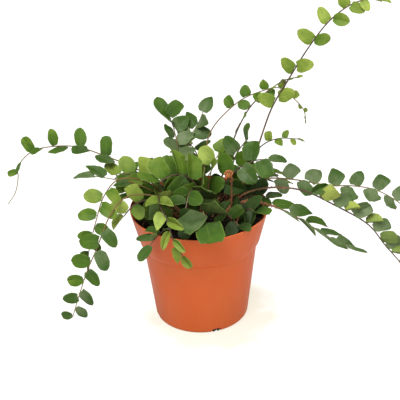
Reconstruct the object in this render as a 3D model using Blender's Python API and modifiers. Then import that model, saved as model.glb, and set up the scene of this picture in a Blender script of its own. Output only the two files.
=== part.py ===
"""Potted button fern: a nursery pot full of potting mix, with a fern's arching fronds standing in it.

The part stands on Z = 0 with the pot's axis on Z, and its front is towards -Y.
"""

import math
import random
from collections import namedtuple

import bmesh
import bpy
from mathutils import Matrix, Vector
from mathutils.bvhtree import BVHTree

MM = 0.001
SEAT_GAP = 0.3 * MM  # clearance between pieces that touch

# Pot: a thin tapered nursery pot with a flared collar
POT_HEIGHT = 105.0 * MM
RIM_RADIUS = 60.0 * MM
COLLAR_HEIGHT = 30.0 * MM
COLLAR_FOOT_RADIUS = 52.4 * MM
COLLAR_STEP = 2.2 * MM
STEP_HEIGHT = 2.4 * MM
BODY_FOOT_RADIUS = 40.8 * MM
BASE_ROUND = 4.0 * MM
POT_WALL = 1.2 * MM
POT_SEGMENTS = 32

# Drain notches where the wall meets the base
NOTCHES = 4
NOTCH_WIDTH = 8.0 * MM
NOTCH_HEIGHT = 3.4 * MM
NOTCH_DEPTH = 9.0 * MM
NOTCH_BEARING = math.radians(-73.0)  # the one that shows at the front

# Potting mix
MIX_TOP = 92.0 * MM
MIX_RINGS = 3
MIX_SEGMENTS = 22
MIX_EDGE = 4.0  # how fast its waves rise from the wall inwards
HOLE_BELOW = 1.0 * MM  # how far a stem's hole goes on below its foot, and above the mix
HOLE_ABOVE = 3.0 * MM

# The waves of the mix's top: height, length along X and along Y, and where they start, in radians
MIX_WAVES = (
    (0.66 * MM, 9.1 * MM, 7.3 * MM, 0.7),
    (0.40 * MM, 5.7 * MM, 4.9 * MM, 2.0),
)

# Fronds
STEM_RADIUS = 0.85 * MM
STEM_TIP_RADIUS = 0.5 * MM
STEM_STEP = 17.0 * MM  # distance between a stem's rings
STEM_BURIED = 8.0 * MM
CURVE_STEPS = 12  # points between two points of a route
BLADE_THICKNESS = 0.7 * MM
BLADE_CLEARANCE = 0.35 * MM
STALK_WIDTH = 1.1 * MM
TURNS = (0, 10, -10, 20, -20, 32, -32, 46, -46)  # degrees that a blade may turn to stay clear
SHRINKS = (1.0, 0.82)

# How much one blade differs from the next
SHARE_SPREAD = 0.008
LONG_SPREAD = (0.92, 1.06)
WIDE_SPREAD = (0.93, 1.07)
LIFT_SPREAD = 8.0  # degrees
SWEEP_SPREAD = 7.0
TWIST_SPREAD = 12.0
DROOP_MOST = 0.16  # how far a blade's tip hangs, as a share of its length

# The blade that ends a frond: its share of the stem, its lift in degrees and its droop
END_SHARE = 0.985
END_LIFT = (-14.0, 2.0)
END_DROOP = 0.08

# Coil of a young frond
COIL_STEPS = 8  # rings in a turn
COIL_CLOSING = 0.72  # how much of its radius it loses from its start to its middle
COIL_SHIFT = 0.5 * MM  # how far each ring stands in front of the last
COIL_TAPER = 0.8

# Share of the length, and half the width there, of a blade from stalk to tip
BLADE_OUTLINE = ((0.17, 0.38), (0.66, 0.49), (1.0, 0.20))

# A frond leaves the mix at the first point of its route and passes through the others, all in
# millimetres. span is the share of its length where the first and the last blades grow, pairs how
# many pairs there are, and blade the length and width of the largest. lift is how far the left and
# the right row are raised above the frond's flat, in degrees, and small the size of the blades at
# the tip, as a share of the largest. sweep is the angle between the stem and each row's blades, in
# degrees, stagger how far the right row is behind the left one, as a share of the distance between
# pairs, crowd how much closer the pairs stand towards the tip, and tip whether a blade ends it.
Frond = namedtuple(
    "Frond",
    "name route span pairs blade lift small sweep stagger crowd tip",
    defaults=((74, 74), 0.5, 0.2, True),
)

FRONDS = (
    # Long fronds that arch or trail out of the pot
    Frond("frond_left_arch",
          ((-8, 6, 94), (-28, 8, 122), (-56, 11, 139), (-79, 12, 150), (-101, 14, 158),
           (-120, 11, 161), (-139, 5, 160), (-151, -3, 151), (-152, -7, 141), (-155, -10, 129),
           (-162, -12, 119)),
          (0.415, 0.85), 5, (19.0, 12.0), (2, 72), 0.5, (48, 75), 0.3, 0.0, False),
    Frond("frond_left_short",
          ((-15, 0, 94), (-36, -3, 120), (-60, -6, 134), (-74, -10, 139), (-87, -14, 144)),
          (0.66, 0.90), 1, (15.0, 9.5), (-30, 45), 1.3, (46, 46)),
    Frond("frond_left_hang",
          ((-11, -7, 94), (-36, -14, 132), (-63, -22, 145), (-77, -36, 138), (-85, -46, 119),
           (-92, -52, 95), (-94, -54, 80)),
          (0.575, 0.92), 4, (17.5, 12.5), (-38, 46), 0.45, (82, 82), 0.5, 0.1),
    Frond("frond_left_trail",
          ((-4, -12, 94), (-28, -22, 124), (-56, -38, 137), (-72, -50, 127), (-85, -60, 100),
           (-94, -64, 81), (-102, -66, 59), (-109, -66, 38)),
          (0.575, 0.99), 5, (18.5, 12.5), (-46, 46), 0.62, (64, 66), 0.45, 0.05, False),
    Frond("frond_back_left_low",
          ((-10, 13, 94), (-15, 26, 128), (-18, 40, 150), (-22, 50, 163), (-28, 57, 171)),
          (0.44, 0.92), 4, (17.0, 13.5), (38, 28), 0.95),
    Frond("frond_back_left_high",
          ((-3, 15, 94), (-8, 27, 128), (-7, 40, 149), (1, 50, 160), (6, 55, 170)),
          (0.42, 0.90), 4, (17.5, 12.5), (22, 58), 1.05, (70, 98)),
    Frond("frond_back_high",
          ((3, 17, 94), (6, 24, 128), (12, 38, 158), (36, 49, 180), (58, 50, 190), (73, 48, 193),
           (84, 42, 186), (93, 38, 176), (95, 37, 164)),
          (0.53, 0.97), 6, (10.5, 9.5), (66, -20), 0.3, (80, 80), 0.5, 0.1),
    Frond("frond_back_young",
          ((9, 17, 94), (24, 24, 130), (34, 33, 158), (48, 42, 180), (66, 46, 194),
           (78, 44, 202), (89, 42, 205)),
          (0.50, 0.95), 4, (9.0, 7.5), (-20, 24), 0.6, (80, 80)),
    Frond("frond_tall",
          ((15, 8, 94), (36, 9, 117), (50, 14, 148), (63, 18, 185), (77, 20, 210), (94, 22, 238),
           (110, 22, 260), (126, 20, 274), (141, 16, 281), (152, 12, 280)),
          (0.468, 0.94), 6, (16.0, 12.0), (66, -60), 0.7, (97, 58), 0.08, 0.5),
    Frond("frond_right_thin",
          ((13, 13, 94), (38, 17, 128), (54, 22, 149), (70, 26, 155), (89, 28, 153)),
          (0.74, 0.93), 2, (8.5, 6.5), (60, -40), 0.8),
    Frond("frond_right_back",
          ((18, 15, 94), (34, 17, 112), (58, 23, 118), (84, 28, 114), (116, 30, 106),
           (136, 30, 105), (155, 28, 102), (171, 24, 95), (187, 20, 83), (198, 16, 70)),
          (0.235, 0.95), 8, (16.5, 14.5), (50, -26), 0.85, (66, 66)),
    Frond("frond_right_arch",
          ((21, 4, 94), (38, 4, 113), (63, 2, 120), (90, -2, 118), (117, -6, 105),
           (145, -10, 88), (161, -14, 68), (174, -16, 52), (181, -18, 38)),
          (0.42, 0.95), 6, (17.5, 13.5), (70, 78), 0.8, (64, 64), 0.5, 0.1),
    Frond("frond_right_low",
          ((18, -2, 94), (38, -4, 110), (58, -10, 110), (77, -16, 104), (102, -22, 89),
           (120, -26, 78), (134, -28, 73)),
          (0.38, 0.925), 5, (24.0, 12.5), (10, 5), 0.82, (48, 26), 0.5, 0.0, False),
    Frond("frond_front_hang",
          ((-8, -16, 94), (-20, -24, 118), (-32, -36, 132), (-31, -50, 131), (-26, -61, 124),
           (-22, -69, 112), (-17, -72, 103), (-14, -72, 97)),
          (0.36, 0.92), 4, (16.5, 11.0), (36, 4), 0.85, (56, 56)),
    Frond("frond_rim_small",
          ((-14, -24, 94), (-20, -36, 104), (-27, -46, 109), (-34, -54, 108), (-41, -62, 103)),
          (0.66, 0.88), 2, (13.0, 8.5), (34, 10), 1.3, (80, 80)),
    Frond("frond_front_over",
          ((4, -20, 94), (3, -33, 114), (3, -44, 124), (4, -53, 125), (5, -59, 121)),
          (0.62, 0.80), 1, (26.0, 22.0), (-14, -14), 1.08, (60, 60)),
    Frond("frond_rear_arch",
          ((5, 23, 94), (4, 38, 120), (-4, 61, 133), (-12, 86, 123), (-18, 102, 100)),
          (0.36, 0.94), 4, (17.0, 13.0), (24, 24), 0.65),
    Frond("frond_rear_right",
          ((15, 20, 94), (29, 36, 110), (48, 56, 113), (66, 72, 102), (80, 84, 82)),
          (0.34, 0.94), 4, (17.0, 13.0), (10, 10), 0.7),
    # Shorter fronds that fill the middle
    Frond("frond_mid_crown",
          ((4, 0, 94), (1, -5, 121), (-7, -10, 137), (-19, -14, 143), (-33, -18, 139)),
          (0.24, 0.92), 4, (23.0, 19.0), (-46, 52), 0.9),
    Frond("frond_mid_left_top",
          ((-9, -1, 94), (-9, 3, 114), (-11, 7, 124), (-17, 9, 129), (-27, 9, 128)),
          (0.26, 0.92), 3, (21.0, 18.0), (-40, 52), 0.9),
    Frond("frond_mid_left",
          ((-18, 4, 94), (-29, 3, 115), (-43, 3, 130), (-57, 2, 137), (-70, -1, 137)),
          (0.32, 0.98), 4, (19.0, 16.0), (-42, 52), 0.95, (74, 74), 0.5, 0.2, False),
    Frond("frond_mid_left_front",
          ((-15, -9, 94), (-27, -15, 114), (-41, -22, 124), (-54, -28, 123), (-63, -33, 115)),
          (0.36, 0.92), 3, (18.0, 14.0), (-36, 44), 0.85),
    Frond("frond_mid_front",
          ((3, -8, 94), (0, -14, 118), (-4, -23, 133), (-8, -34, 134), (-11, -43, 126)),
          (0.24, 0.92), 4, (21.0, 16.0), (8, 8), 0.85),
    Frond("frond_mid_front_right",
          ((13, -10, 94), (19, -21, 107), (26, -31, 110), (33, -39, 106)),
          (0.34, 0.90), 2, (15.0, 12.5), (48, -20), 0.9),
    Frond("frond_mid_right",
          ((32, -13, 94), (37, -18, 107), (43, -23, 113), (47, -27, 112)),
          (0.36, 0.90), 2, (17.0, 14.5), (52, -36), 0.95),
    Frond("frond_mid_right_top",
          ((12, 3, 94), (21, 3, 122), (34, 3, 138), (48, 2, 146), (60, 0, 148)),
          (0.26, 0.92), 3, (20.0, 17.0), (54, -46), 0.85),
    Frond("frond_mid_top",
          ((6, 6, 94), (9, 11, 119), (13, 17, 136), (19, 22, 145)),
          (0.26, 0.92), 3, (20.0, 17.0), (24, 10), 0.85),
    Frond("frond_mid_top_right",
          ((22, 11, 94), (27, 13, 124), (33, 16, 145), (42, 16, 159)),
          (0.30, 0.92), 3, (19.0, 16.0), (54, -44), 0.9),
    Frond("frond_mid_back",
          ((-1, 22, 94), (-4, 36, 112), (-10, 50, 118), (-18, 62, 112)),
          (0.34, 0.92), 3, (19.0, 15.0), (14, 14), 0.85),
    Frond("frond_mid_back_left",
          ((-16, 14, 94), (-30, 28, 112), (-46, 38, 120), (-62, 44, 116)),
          (0.34, 0.92), 3, (19.0, 15.0), (20, 20), 0.85),
    Frond("frond_mid_back_right",
          ((26, 17, 94), (37, 29, 108), (50, 40, 112), (62, 48, 105)),
          (0.34, 0.92), 3, (18.0, 14.5), (12, 12), 0.85),
    Frond("frond_mid_right_low",
          ((24, 6, 94), (32, 7, 104), (44, 8, 109), (58, 7, 109)),
          (0.30, 0.92), 3, (17.0, 14.0), (58, -48), 0.9),
    Frond("frond_mid_left_low",
          ((-21, 1, 94), (-33, 1, 110), (-46, 1, 117), (-58, -1, 116)),
          (0.30, 0.92), 3, (17.0, 14.0), (-44, 50), 0.9),
    Frond("frond_low_left",
          ((-24, -6, 94), (-34, -12, 103), (-43, -19, 106), (-48, -27, 103)),
          (0.42, 0.82), 2, (16.0, 14.5), (-20, 40), 1.0),
    Frond("frond_low_front_left",
          ((-5, -22, 94), (-8, -30, 103), (-11, -37, 105)),
          (0.50, 0.80), 1, (12.5, 12.0), (14, 14), 1.0),
    Frond("frond_low_front",
          ((11, -22, 94), (15, -29, 103), (19, -37, 105)),
          (0.50, 0.80), 1, (13.0, 12.0), (14, 14), 1.0),
)

# A crozier is a young frond, still rolled up: its route, then the coil's radius and turns
Crozier = namedtuple("Crozier", "name route radius coil turns")
CROZIERS = (
    Crozier("crozier_tall", ((27, -8, 94), (28, -9, 118), (28, -9, 140)), 1.2, 2.6, 1.5),
    Crozier("crozier_low", ((13, -34, 94), (13, -44, 99), (13, -48, 104)), 1.0, 2.4, 1.3),
)


def clear_scene():
    """Start from an empty file."""
    for obj in list(bpy.data.objects):
        bpy.data.objects.remove(obj, do_unlink=True)


def material(name, colour, roughness):
    """A plain finish for one kind of piece."""
    made = bpy.data.materials.new(name)
    made.use_nodes = True
    shader = made.node_tree.nodes["Principled BSDF"]
    shader.inputs["Base Color"].default_value = (*colour, 1.0)
    shader.inputs["Roughness"].default_value = roughness
    shader.inputs["Metallic"].default_value = 0.0
    return made


def collection(name, shown=True):
    """A new collection in the scene, left out of the render if it only holds helpers."""
    made = bpy.data.collections.new(name)
    made.hide_render = not shown
    bpy.context.scene.collection.children.link(made)
    return made


def mesh_object(name, mesh, into):
    """An object that shows a mesh, in a collection."""
    obj = bpy.data.objects.new(name, mesh)
    into.objects.link(obj)
    return obj


def from_bmesh(name, shape, into):
    """An object made from a bmesh, which is then freed."""
    mesh = bpy.data.meshes.new(name)
    shape.to_mesh(mesh)
    shape.free()
    return mesh_object(name, mesh, into)


def apply_modifiers(obj):
    """Replace an object's mesh by what its modifiers make of it."""
    graph = bpy.context.evaluated_depsgraph_get()
    graph.update()
    mesh = bpy.data.meshes.new_from_object(obj.evaluated_get(graph))
    obj.modifiers.clear()
    obj.data = mesh


def turned(name, profile, segments, into):
    """A body of revolution about Z from (radius, height) points that start and end on the axis."""
    shape = bmesh.new()
    corners = [shape.verts.new((radius, 0.0, height)) for radius, height in profile]
    for a, b in zip(corners, corners[1:]):
        shape.edges.new((a, b))
    obj = from_bmesh(name, shape, into)
    screw = obj.modifiers.new("Turn", "SCREW")
    screw.axis = "Z"
    screw.steps = screw.render_steps = segments
    screw.use_merge_vertices = True
    screw.merge_threshold = 0.00001
    screw.use_smooth_shade = True
    apply_modifiers(obj)
    return obj


def outer_radius(height):
    """The pot's outer radius at a height, without its step and rounded base."""
    collar_foot = POT_HEIGHT - COLLAR_HEIGHT
    if height >= collar_foot:
        share = (height - collar_foot) / COLLAR_HEIGHT
        return COLLAR_FOOT_RADIUS + share * (RIM_RADIUS - COLLAR_FOOT_RADIUS)
    body_top = COLLAR_FOOT_RADIUS - COLLAR_STEP
    return BODY_FOOT_RADIUS + height / collar_foot * (body_top - BODY_FOOT_RADIUS)


def wall_profile(inset):
    """(radius, height) points from the foot to the rim, inset from the pot's outside."""
    collar_foot = POT_HEIGHT - COLLAR_HEIGHT
    body_top = collar_foot - STEP_HEIGHT
    return [
        (outer_radius(BASE_ROUND) - inset, BASE_ROUND),
        (outer_radius(body_top) - inset, body_top),
        (outer_radius(collar_foot) - inset, collar_foot),
        (outer_radius(POT_HEIGHT) - inset, POT_HEIGHT),
    ]


def base_round(inset, floor, angles=(0.0, 45.0)):
    """Points of the rounded edge between base and wall, from the base outwards."""
    radius = BASE_ROUND - floor
    centre = outer_radius(BASE_ROUND) - inset - radius
    return [
        (centre + radius * math.sin(math.radians(a)),
         BASE_ROUND - radius * math.cos(math.radians(a)))
        for a in angles
    ]


def make_pot(into):
    """The pot, turned, with a flat base and drain notches through its lower edge."""
    inside = [(0.0, POT_WALL), *base_round(POT_WALL, POT_WALL), *wall_profile(POT_WALL)]
    outside = [(0.0, 0.0), *base_round(0.0, 0.0, (0.0, 30.0, 60.0)), *wall_profile(0.0)]
    pot = turned("pot", inside + outside[::-1], POT_SEGMENTS, into)
    cutters = collection("notch_cutters", shown=False)
    for k in range(NOTCHES):
        bearing = NOTCH_BEARING + k * math.tau / NOTCHES
        middle = BODY_FOOT_RADIUS - NOTCH_DEPTH / 2 + POT_WALL
        place = Matrix.Rotation(bearing, 4, "Z") @ Matrix.Translation((middle, 0.0, 0.0))
        shape = bmesh.new()
        bmesh.ops.create_cube(
            shape,
            size=1.0,
            matrix=place @ Matrix.Diagonal((NOTCH_DEPTH, NOTCH_WIDTH, 2 * NOTCH_HEIGHT, 1.0)),
        )
        cutter = from_bmesh(f"notch_{k}", shape, cutters)
        cutter.display_type = "WIRE"
        cutter.hide_render = True
    cut = pot.modifiers.new("Notches", "BOOLEAN")
    cut.operation = "DIFFERENCE"
    cut.operand_type = "COLLECTION"
    cut.collection = cutters
    cut.solver = "EXACT"
    apply_modifiers(pot)
    for cutter in list(cutters.objects):
        bpy.data.objects.remove(cutter, do_unlink=True)
    pot.data.materials.append(material("terracotta_plastic", (0.62, 0.115, 0.035), 0.42))
    pot.data.set_sharp_from_angle(angle=math.radians(40.0))
    return pot


def mix_height(x, y):
    """The height of the potting mix's lumpy top."""
    return MIX_TOP + sum(
        high * math.sin(x / long + start) * math.cos(y / wide + start)
        for high, long, wide, start in MIX_WAVES
    )


def make_mix(into, stems):
    """The potting mix: it fills the pot, and has a plain hole for each stem."""
    gap = POT_WALL + SEAT_GAP
    wall = [*base_round(gap, POT_WALL + SEAT_GAP), *wall_profile(gap)[:-1]]
    wall.append((outer_radius(MIX_TOP) - gap, MIX_TOP))
    top = [(wall[-1][0] * k / MIX_RINGS, MIX_TOP) for k in range(MIX_RINGS)]
    profile = top + wall[::-1] + [(0.0, POT_WALL + SEAT_GAP)]
    mix = turned("potting_mix", profile, MIX_SEGMENTS, into)
    for vertex in mix.data.vertices:
        x, y, z = vertex.co
        if abs(z - MIX_TOP) < 0.01 * MM:
            edge = min(1.0, MIX_EDGE * (1.0 - math.hypot(x, y) / outer_radius(MIX_TOP)))
            vertex.co.z = MIX_TOP + edge * (mix_height(x, y) - MIX_TOP)
    cutters = collection("stem_holes", shown=False)
    for k, (foot, leaves, radius) in enumerate(stems):
        along = (leaves - foot).normalized()
        low, high = foot - along * HOLE_BELOW, leaves + along * HOLE_ABOVE
        corner = (radius + SEAT_GAP) * math.sqrt(2.0)
        turn = along.to_track_quat("Z", "Y").to_matrix().to_4x4()
        shape = bmesh.new()
        bmesh.ops.create_cone(
            shape,
            segments=4,
            radius1=corner,
            radius2=corner,
            depth=(high - low).length,
            cap_ends=True,
            matrix=Matrix.Translation((low + high) / 2) @ turn,
        )
        cutter = from_bmesh(f"hole_{k}", shape, cutters)
        cutter.display_type = "WIRE"
        cutter.hide_render = True
    cut = mix.modifiers.new("Stem holes", "BOOLEAN")
    cut.operation = "DIFFERENCE"
    cut.operand_type = "COLLECTION"
    cut.collection = cutters
    cut.solver = "EXACT"
    apply_modifiers(mix)
    for cutter in list(cutters.objects):
        bpy.data.objects.remove(cutter, do_unlink=True)
    mix.data.materials.append(material("potting_mix", (0.02, 0.013, 0.009), 0.95))
    return mix


def spline_point(a, b, c, d, t):
    """A point between b and c on the smooth curve through a, b, c and d."""
    return 0.5 * (
        2 * b + (c - a) * t + (2 * a - 5 * b + 4 * c - d) * t**2 + (3 * b - a - 3 * c + d) * t**3
    )


def stem_points(route):
    """A stem's points: its foot in the mix, where it leaves the mix, then evenly to its tip."""
    via = [Vector(p) * MM for p in route]
    foot = via[0] - (via[1] - via[0]).normalized() * STEM_BURIED
    guides = [foot, *via, 2 * via[-1] - via[-2]]
    fine = []
    for a, b, c, d in zip(guides, guides[1:], guides[2:], guides[3:]):
        fine += [spline_point(a, b, c, d, k / CURVE_STEPS) for k in range(CURVE_STEPS)]
    fine.append(via[-1])
    lengths = [0.0]
    for a, b in zip(fine, fine[1:]):
        lengths.append(lengths[-1] + (b - a).length)
    count = max(4, round(lengths[-1] / STEM_STEP) + 1)
    points, k = [foot], 0
    for i in range(count):
        reach = lengths[-1] * i / (count - 1)
        while k < len(lengths) - 2 and lengths[k + 1] < reach:
            k += 1
        share = (reach - lengths[k]) / (lengths[k + 1] - lengths[k])
        points.append(fine[k].lerp(fine[k + 1], share))
    return points


def tube(name, points, radii, sides_level, into):
    """A closed tube along points, as a mesh."""
    curve = bpy.data.curves.new(name, "CURVE")
    curve.dimensions = "3D"
    curve.bevel_depth = 1.0
    curve.bevel_resolution = sides_level
    curve.use_fill_caps = True
    spline = curve.splines.new("POLY")
    spline.points.add(len(points) - 1)
    for handle, point, radius in zip(spline.points, points, radii):
        handle.co = (*point, 1.0)
        handle.radius = radius
    guide = bpy.data.objects.new(name + "_guide", curve)
    into.objects.link(guide)
    graph = bpy.context.evaluated_depsgraph_get()
    graph.update()
    mesh = bpy.data.meshes.new_from_object(guide.evaluated_get(graph))
    bpy.data.objects.remove(guide, do_unlink=True)
    shape = bmesh.new()
    shape.from_mesh(mesh)
    bmesh.ops.remove_doubles(shape, verts=shape.verts, dist=0.01 * MM)
    bmesh.ops.recalc_face_normals(shape, faces=shape.faces)
    bpy.data.meshes.remove(mesh)
    return from_bmesh(name, shape, into)


def stem_radii(count, radius, tip_radius):
    """A stem's radius at each of its points, from foot to tip."""
    return [radius + (tip_radius - radius) * k / (count - 1) for k in range(count)]


class Stem:
    """A frond's stem as a line: where a share of its length lies, and how the frond faces there."""

    def __init__(self, points):
        self.points = points[1:]
        self.reach = [0.0]
        for a, b in zip(self.points, self.points[1:]):
            self.reach.append(self.reach[-1] + (b - a).length)
        heading = self.points[-1] - self.points[0]
        self.side = heading.cross(Vector((0.0, 0.0, 1.0))).normalized()

    def at(self, share):
        """The place, direction, right-hand side and upper side at a share of the length."""
        reach = share * self.reach[-1]
        k = 0
        while k < len(self.reach) - 2 and self.reach[k + 1] < reach:
            k += 1
        a, b = self.points[k], self.points[k + 1]
        place = a.lerp(b, (reach - self.reach[k]) / (self.reach[k + 1] - self.reach[k]))
        along = (b - a).normalized()
        side = (self.side - along * self.side.dot(along)).normalized()
        return place, along, side, side.cross(along)


def blade_axes(stem, share, row, lift, sweep, twist):
    """A blade's root, its length, width and upper directions. row is -1, 1, or 0 at the tip."""
    place, along, side, upper = stem.at(share)
    if row == 0:
        length = (along * math.cos(lift) + upper * math.sin(lift)).normalized()
        width = -side
    else:
        out = side * row * math.cos(lift) + upper * math.sin(lift)
        length = (out * math.sin(sweep) + along * math.cos(sweep)).normalized()
        width = row * (along - length * along.dot(length)).normalized()
    width = Matrix.Rotation(twist, 3, length) @ width
    return place, length, width, length.cross(width).normalized()


def blade_points(axes, size, droop):
    """The left and right points of a blade's outline from its root to its tip."""
    place, length, width, upper = axes
    long, wide = size
    rows = [(0.0, STALK_WIDTH / 2), *((t, half * wide) for t, half in BLADE_OUTLINE)]
    made = []
    for t, half in rows:
        middle = place + length * (t * long) - upper * (droop * long * t * t)
        made.append((middle - width * half, middle + width * half))
    return made


def blade_shape(rows, thickness, first=0):
    """A closed blade of that thickness around the outline's rows, from row first on."""
    rows = rows[first:]
    shape = bmesh.new()
    bmesh.ops.create_grid(shape, x_segments=len(rows) - 1, y_segments=1, size=0.5)
    corners = sorted(shape.verts, key=lambda v: (round(v.co.x, 4), v.co.y))
    for vertex, point in zip(corners, [p for pair in rows for p in pair]):
        vertex.co = point
    shape.normal_update()
    normals = {v.index: v.normal.copy() for v in shape.verts}
    for vertex in shape.verts:
        vertex.co += normals[vertex.index] * thickness / 2
    bmesh.ops.solidify(shape, geom=shape.faces, thickness=thickness)
    bmesh.ops.recalc_face_normals(shape, faces=shape.faces)
    return shape


def plan_blades(frond):
    """Each blade's share of the stem, row, lift, sweep, twist, size and droop, from the stem's
    lower blades to its tip. The small differences are drawn from the frond's own name."""
    draw = random.Random(frond.name)
    first, last = frond.span
    plan = []
    for k in range(frond.pairs):
        for row in (-1, 1):
            step = (k + (frond.stagger if row > 0 else 0.0)) / (frond.pairs - 1 + frond.stagger)
            eased = step * (1.0 + frond.crowd) - frond.crowd * step**2
            share = first + (last - first) * eased + draw.uniform(-SHARE_SPREAD, SHARE_SPREAD)
            scale = (1.0 - (1.0 - frond.small) * step**2) * draw.uniform(*LONG_SPREAD) * MM
            lift = frond.lift[0 if row < 0 else 1] + draw.uniform(-LIFT_SPREAD, LIFT_SPREAD)
            sweep = frond.sweep[0 if row < 0 else 1] + draw.uniform(-SWEEP_SPREAD, SWEEP_SPREAD)
            twist = draw.uniform(-TWIST_SPREAD, TWIST_SPREAD)
            size = (frond.blade[0] * scale, frond.blade[1] * scale * draw.uniform(*WIDE_SPREAD))
            droop = draw.uniform(0.0, DROOP_MOST)
            angles = (math.radians(lift), math.radians(sweep), math.radians(twist))
            plan.append((share, row, *angles, size, droop))
    if frond.tip:
        size = (frond.blade[0] * frond.small * MM, frond.blade[1] * frond.small * MM)
        lift = math.radians(draw.uniform(*END_LIFT))
        plan.append((END_SHARE, 0, lift, 0.0, 0.0, size, END_DROOP))
    return plan


def tree_of(shape):
    """The faces of a bmesh, for testing what touches them, with the middle and reach of its box."""
    low = Vector(min(v.co[i] for v in shape.verts) for i in range(3))
    high = Vector(max(v.co[i] for v in shape.verts) for i in range(3))
    return BVHTree.FromBMesh(shape), (low + high) / 2, (high - low).length / 2


def tree_of_object(obj):
    """As tree_of, for an object's mesh."""
    shape = bmesh.new()
    shape.from_mesh(obj.data)
    found = tree_of(shape)
    shape.free()
    return found


def touches(candidate, placed):
    """Whether a candidate's faces cross any of those placed."""
    tree, middle, reach = candidate
    return any(
        (middle - other_middle).length < reach + other_reach and tree.overlap(other)
        for other, other_middle, other_reach in placed
    )


def clear_blade(stem, blade, placed):
    """A blade's outline rows, turned and if need be reduced until it touches nothing, or None."""
    share, row, lift, sweep, twist, size, droop = blade
    for shrink in SHRINKS:
        for turn in TURNS:
            axes = blade_axes(stem, share, row, lift + math.radians(turn), sweep, twist)
            rows = blade_points(axes, (size[0] * shrink, size[1] * shrink), droop)
            shape = blade_shape(rows, BLADE_THICKNESS + 2 * BLADE_CLEARANCE, first=1)
            candidate = tree_of(shape)
            shape.free()
            if not touches(candidate, placed):
                return rows, candidate
    return None


def fuse(obj, pieces):
    """Join the objects of a collection to obj in one body, and remove them."""
    join = obj.modifiers.new("Fuse", "BOOLEAN")
    join.operation = "UNION"
    join.operand_type = "COLLECTION"
    join.collection = pieces
    join.solver = "EXACT"
    apply_modifiers(obj)
    for piece in list(pieces.objects):
        bpy.data.objects.remove(piece, do_unlink=True)
    bpy.data.collections.remove(pieces)


def make_fronds(into, obstacles):
    """Every frond, its blades kept clear of the other fronds, the pot and the mix."""
    leaf = material("fern_leaf", (0.10, 0.24, 0.045), 0.45)
    lines = {frond.name: stem_points(frond.route) for frond in FRONDS}
    stems = {}
    for frond in FRONDS:
        points = lines[frond.name]
        radii = stem_radii(len(points), STEM_RADIUS, STEM_TIP_RADIUS)
        stems[frond.name] = tube(frond.name, points, radii, 0, into)
    trees = {name: tree_of_object(stem) for name, stem in stems.items()}
    blades = []
    for frond in FRONDS:
        line = Stem(lines[frond.name])
        others = [tree for name, tree in trees.items() if name != frond.name]
        pieces = collection(frond.name + "_blades", shown=False)
        for k, blade in enumerate(plan_blades(frond)):
            found = clear_blade(line, blade, obstacles + others + blades)
            if found is None:
                continue
            rows, tree = found
            blades.append(tree)
            from_bmesh(f"{frond.name}_blade_{k}", blade_shape(rows, BLADE_THICKNESS), pieces)
        fuse(stems[frond.name], pieces)
        stems[frond.name].data.materials.append(leaf)
    return stems


def crozier_points(crozier):
    """A crozier's stem, then the coil that its tip is rolled into."""
    points = stem_points(crozier.route)
    along = (points[-1] - points[-2]).normalized()
    inward = Vector((-1.0, 0.0, 0.0))
    inward = (inward - along * inward.dot(along)).normalized()
    centre = points[-1] + inward * crozier.coil * MM
    steps = round(crozier.turns * COIL_STEPS)
    for k in range(1, steps + 1):
        angle = math.tau * crozier.turns * k / steps
        reach = crozier.coil * MM * (1.0 - COIL_CLOSING * k / steps)
        sideways = Vector((0.0, -COIL_SHIFT * k, 0.0))
        points.append(centre + (along * math.sin(angle) - inward * math.cos(angle)) * reach + sideways)
    return points


def make_croziers(into):
    """The young fronds, still rolled up."""
    fur = material("crozier_fur", (0.42, 0.15, 0.05), 0.9)
    made = []
    for crozier in CROZIERS:
        points = crozier_points(crozier)
        radius = crozier.radius * MM
        radii = stem_radii(len(points), radius, radius * COIL_TAPER)
        obj = tube(crozier.name, points, radii, 0, into)
        obj.data.materials.append(fur)
        made.append(obj)
    return made


def main():
    clear_scene()
    parts = collection("potted_button_fern")
    pot = make_pot(parts)
    croziers = make_croziers(parts)
    feet = []
    for frond in FRONDS:
        foot, leaves = stem_points(frond.route)[:2]
        feet.append((foot, leaves, STEM_RADIUS))
    for crozier in CROZIERS:
        foot, leaves = stem_points(crozier.route)[:2]
        feet.append((foot, leaves, crozier.radius * MM))
    mix = make_mix(parts, feet)
    make_fronds(parts, [tree_of_object(obj) for obj in (pot, mix, *croziers)])


main()
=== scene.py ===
"""The dressed potted button fern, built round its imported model.

Each frond gets finer leaflets and a wiry stalk on the places of the solid one. The young fronds, still rolled
up, and the feet of the stalks get their hairs, the potting mix its crumbs, and the pot its moulded edges.
"""

from __future__ import annotations

import logging
import math
import random
from collections.abc import Callable, Iterator, Sequence
from contextlib import contextmanager
from dataclasses import dataclass, replace
from enum import Enum

import bmesh
import bpy
from mathutils import Matrix, Vector, noise
from mathutils.kdtree import KDTree


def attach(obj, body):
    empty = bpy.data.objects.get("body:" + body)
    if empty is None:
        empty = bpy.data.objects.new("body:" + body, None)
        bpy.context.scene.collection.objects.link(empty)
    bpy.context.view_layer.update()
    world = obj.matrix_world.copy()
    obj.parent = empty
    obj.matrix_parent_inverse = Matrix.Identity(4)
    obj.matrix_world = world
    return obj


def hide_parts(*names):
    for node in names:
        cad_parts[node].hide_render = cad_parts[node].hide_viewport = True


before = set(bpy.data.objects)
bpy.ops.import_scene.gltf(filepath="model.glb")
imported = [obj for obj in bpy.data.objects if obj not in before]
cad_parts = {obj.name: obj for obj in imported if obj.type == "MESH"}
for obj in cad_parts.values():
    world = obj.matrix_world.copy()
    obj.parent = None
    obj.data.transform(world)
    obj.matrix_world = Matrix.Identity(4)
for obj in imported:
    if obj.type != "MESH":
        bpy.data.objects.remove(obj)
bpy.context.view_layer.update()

log = logging.getLogger("potted_button_fern")

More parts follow.
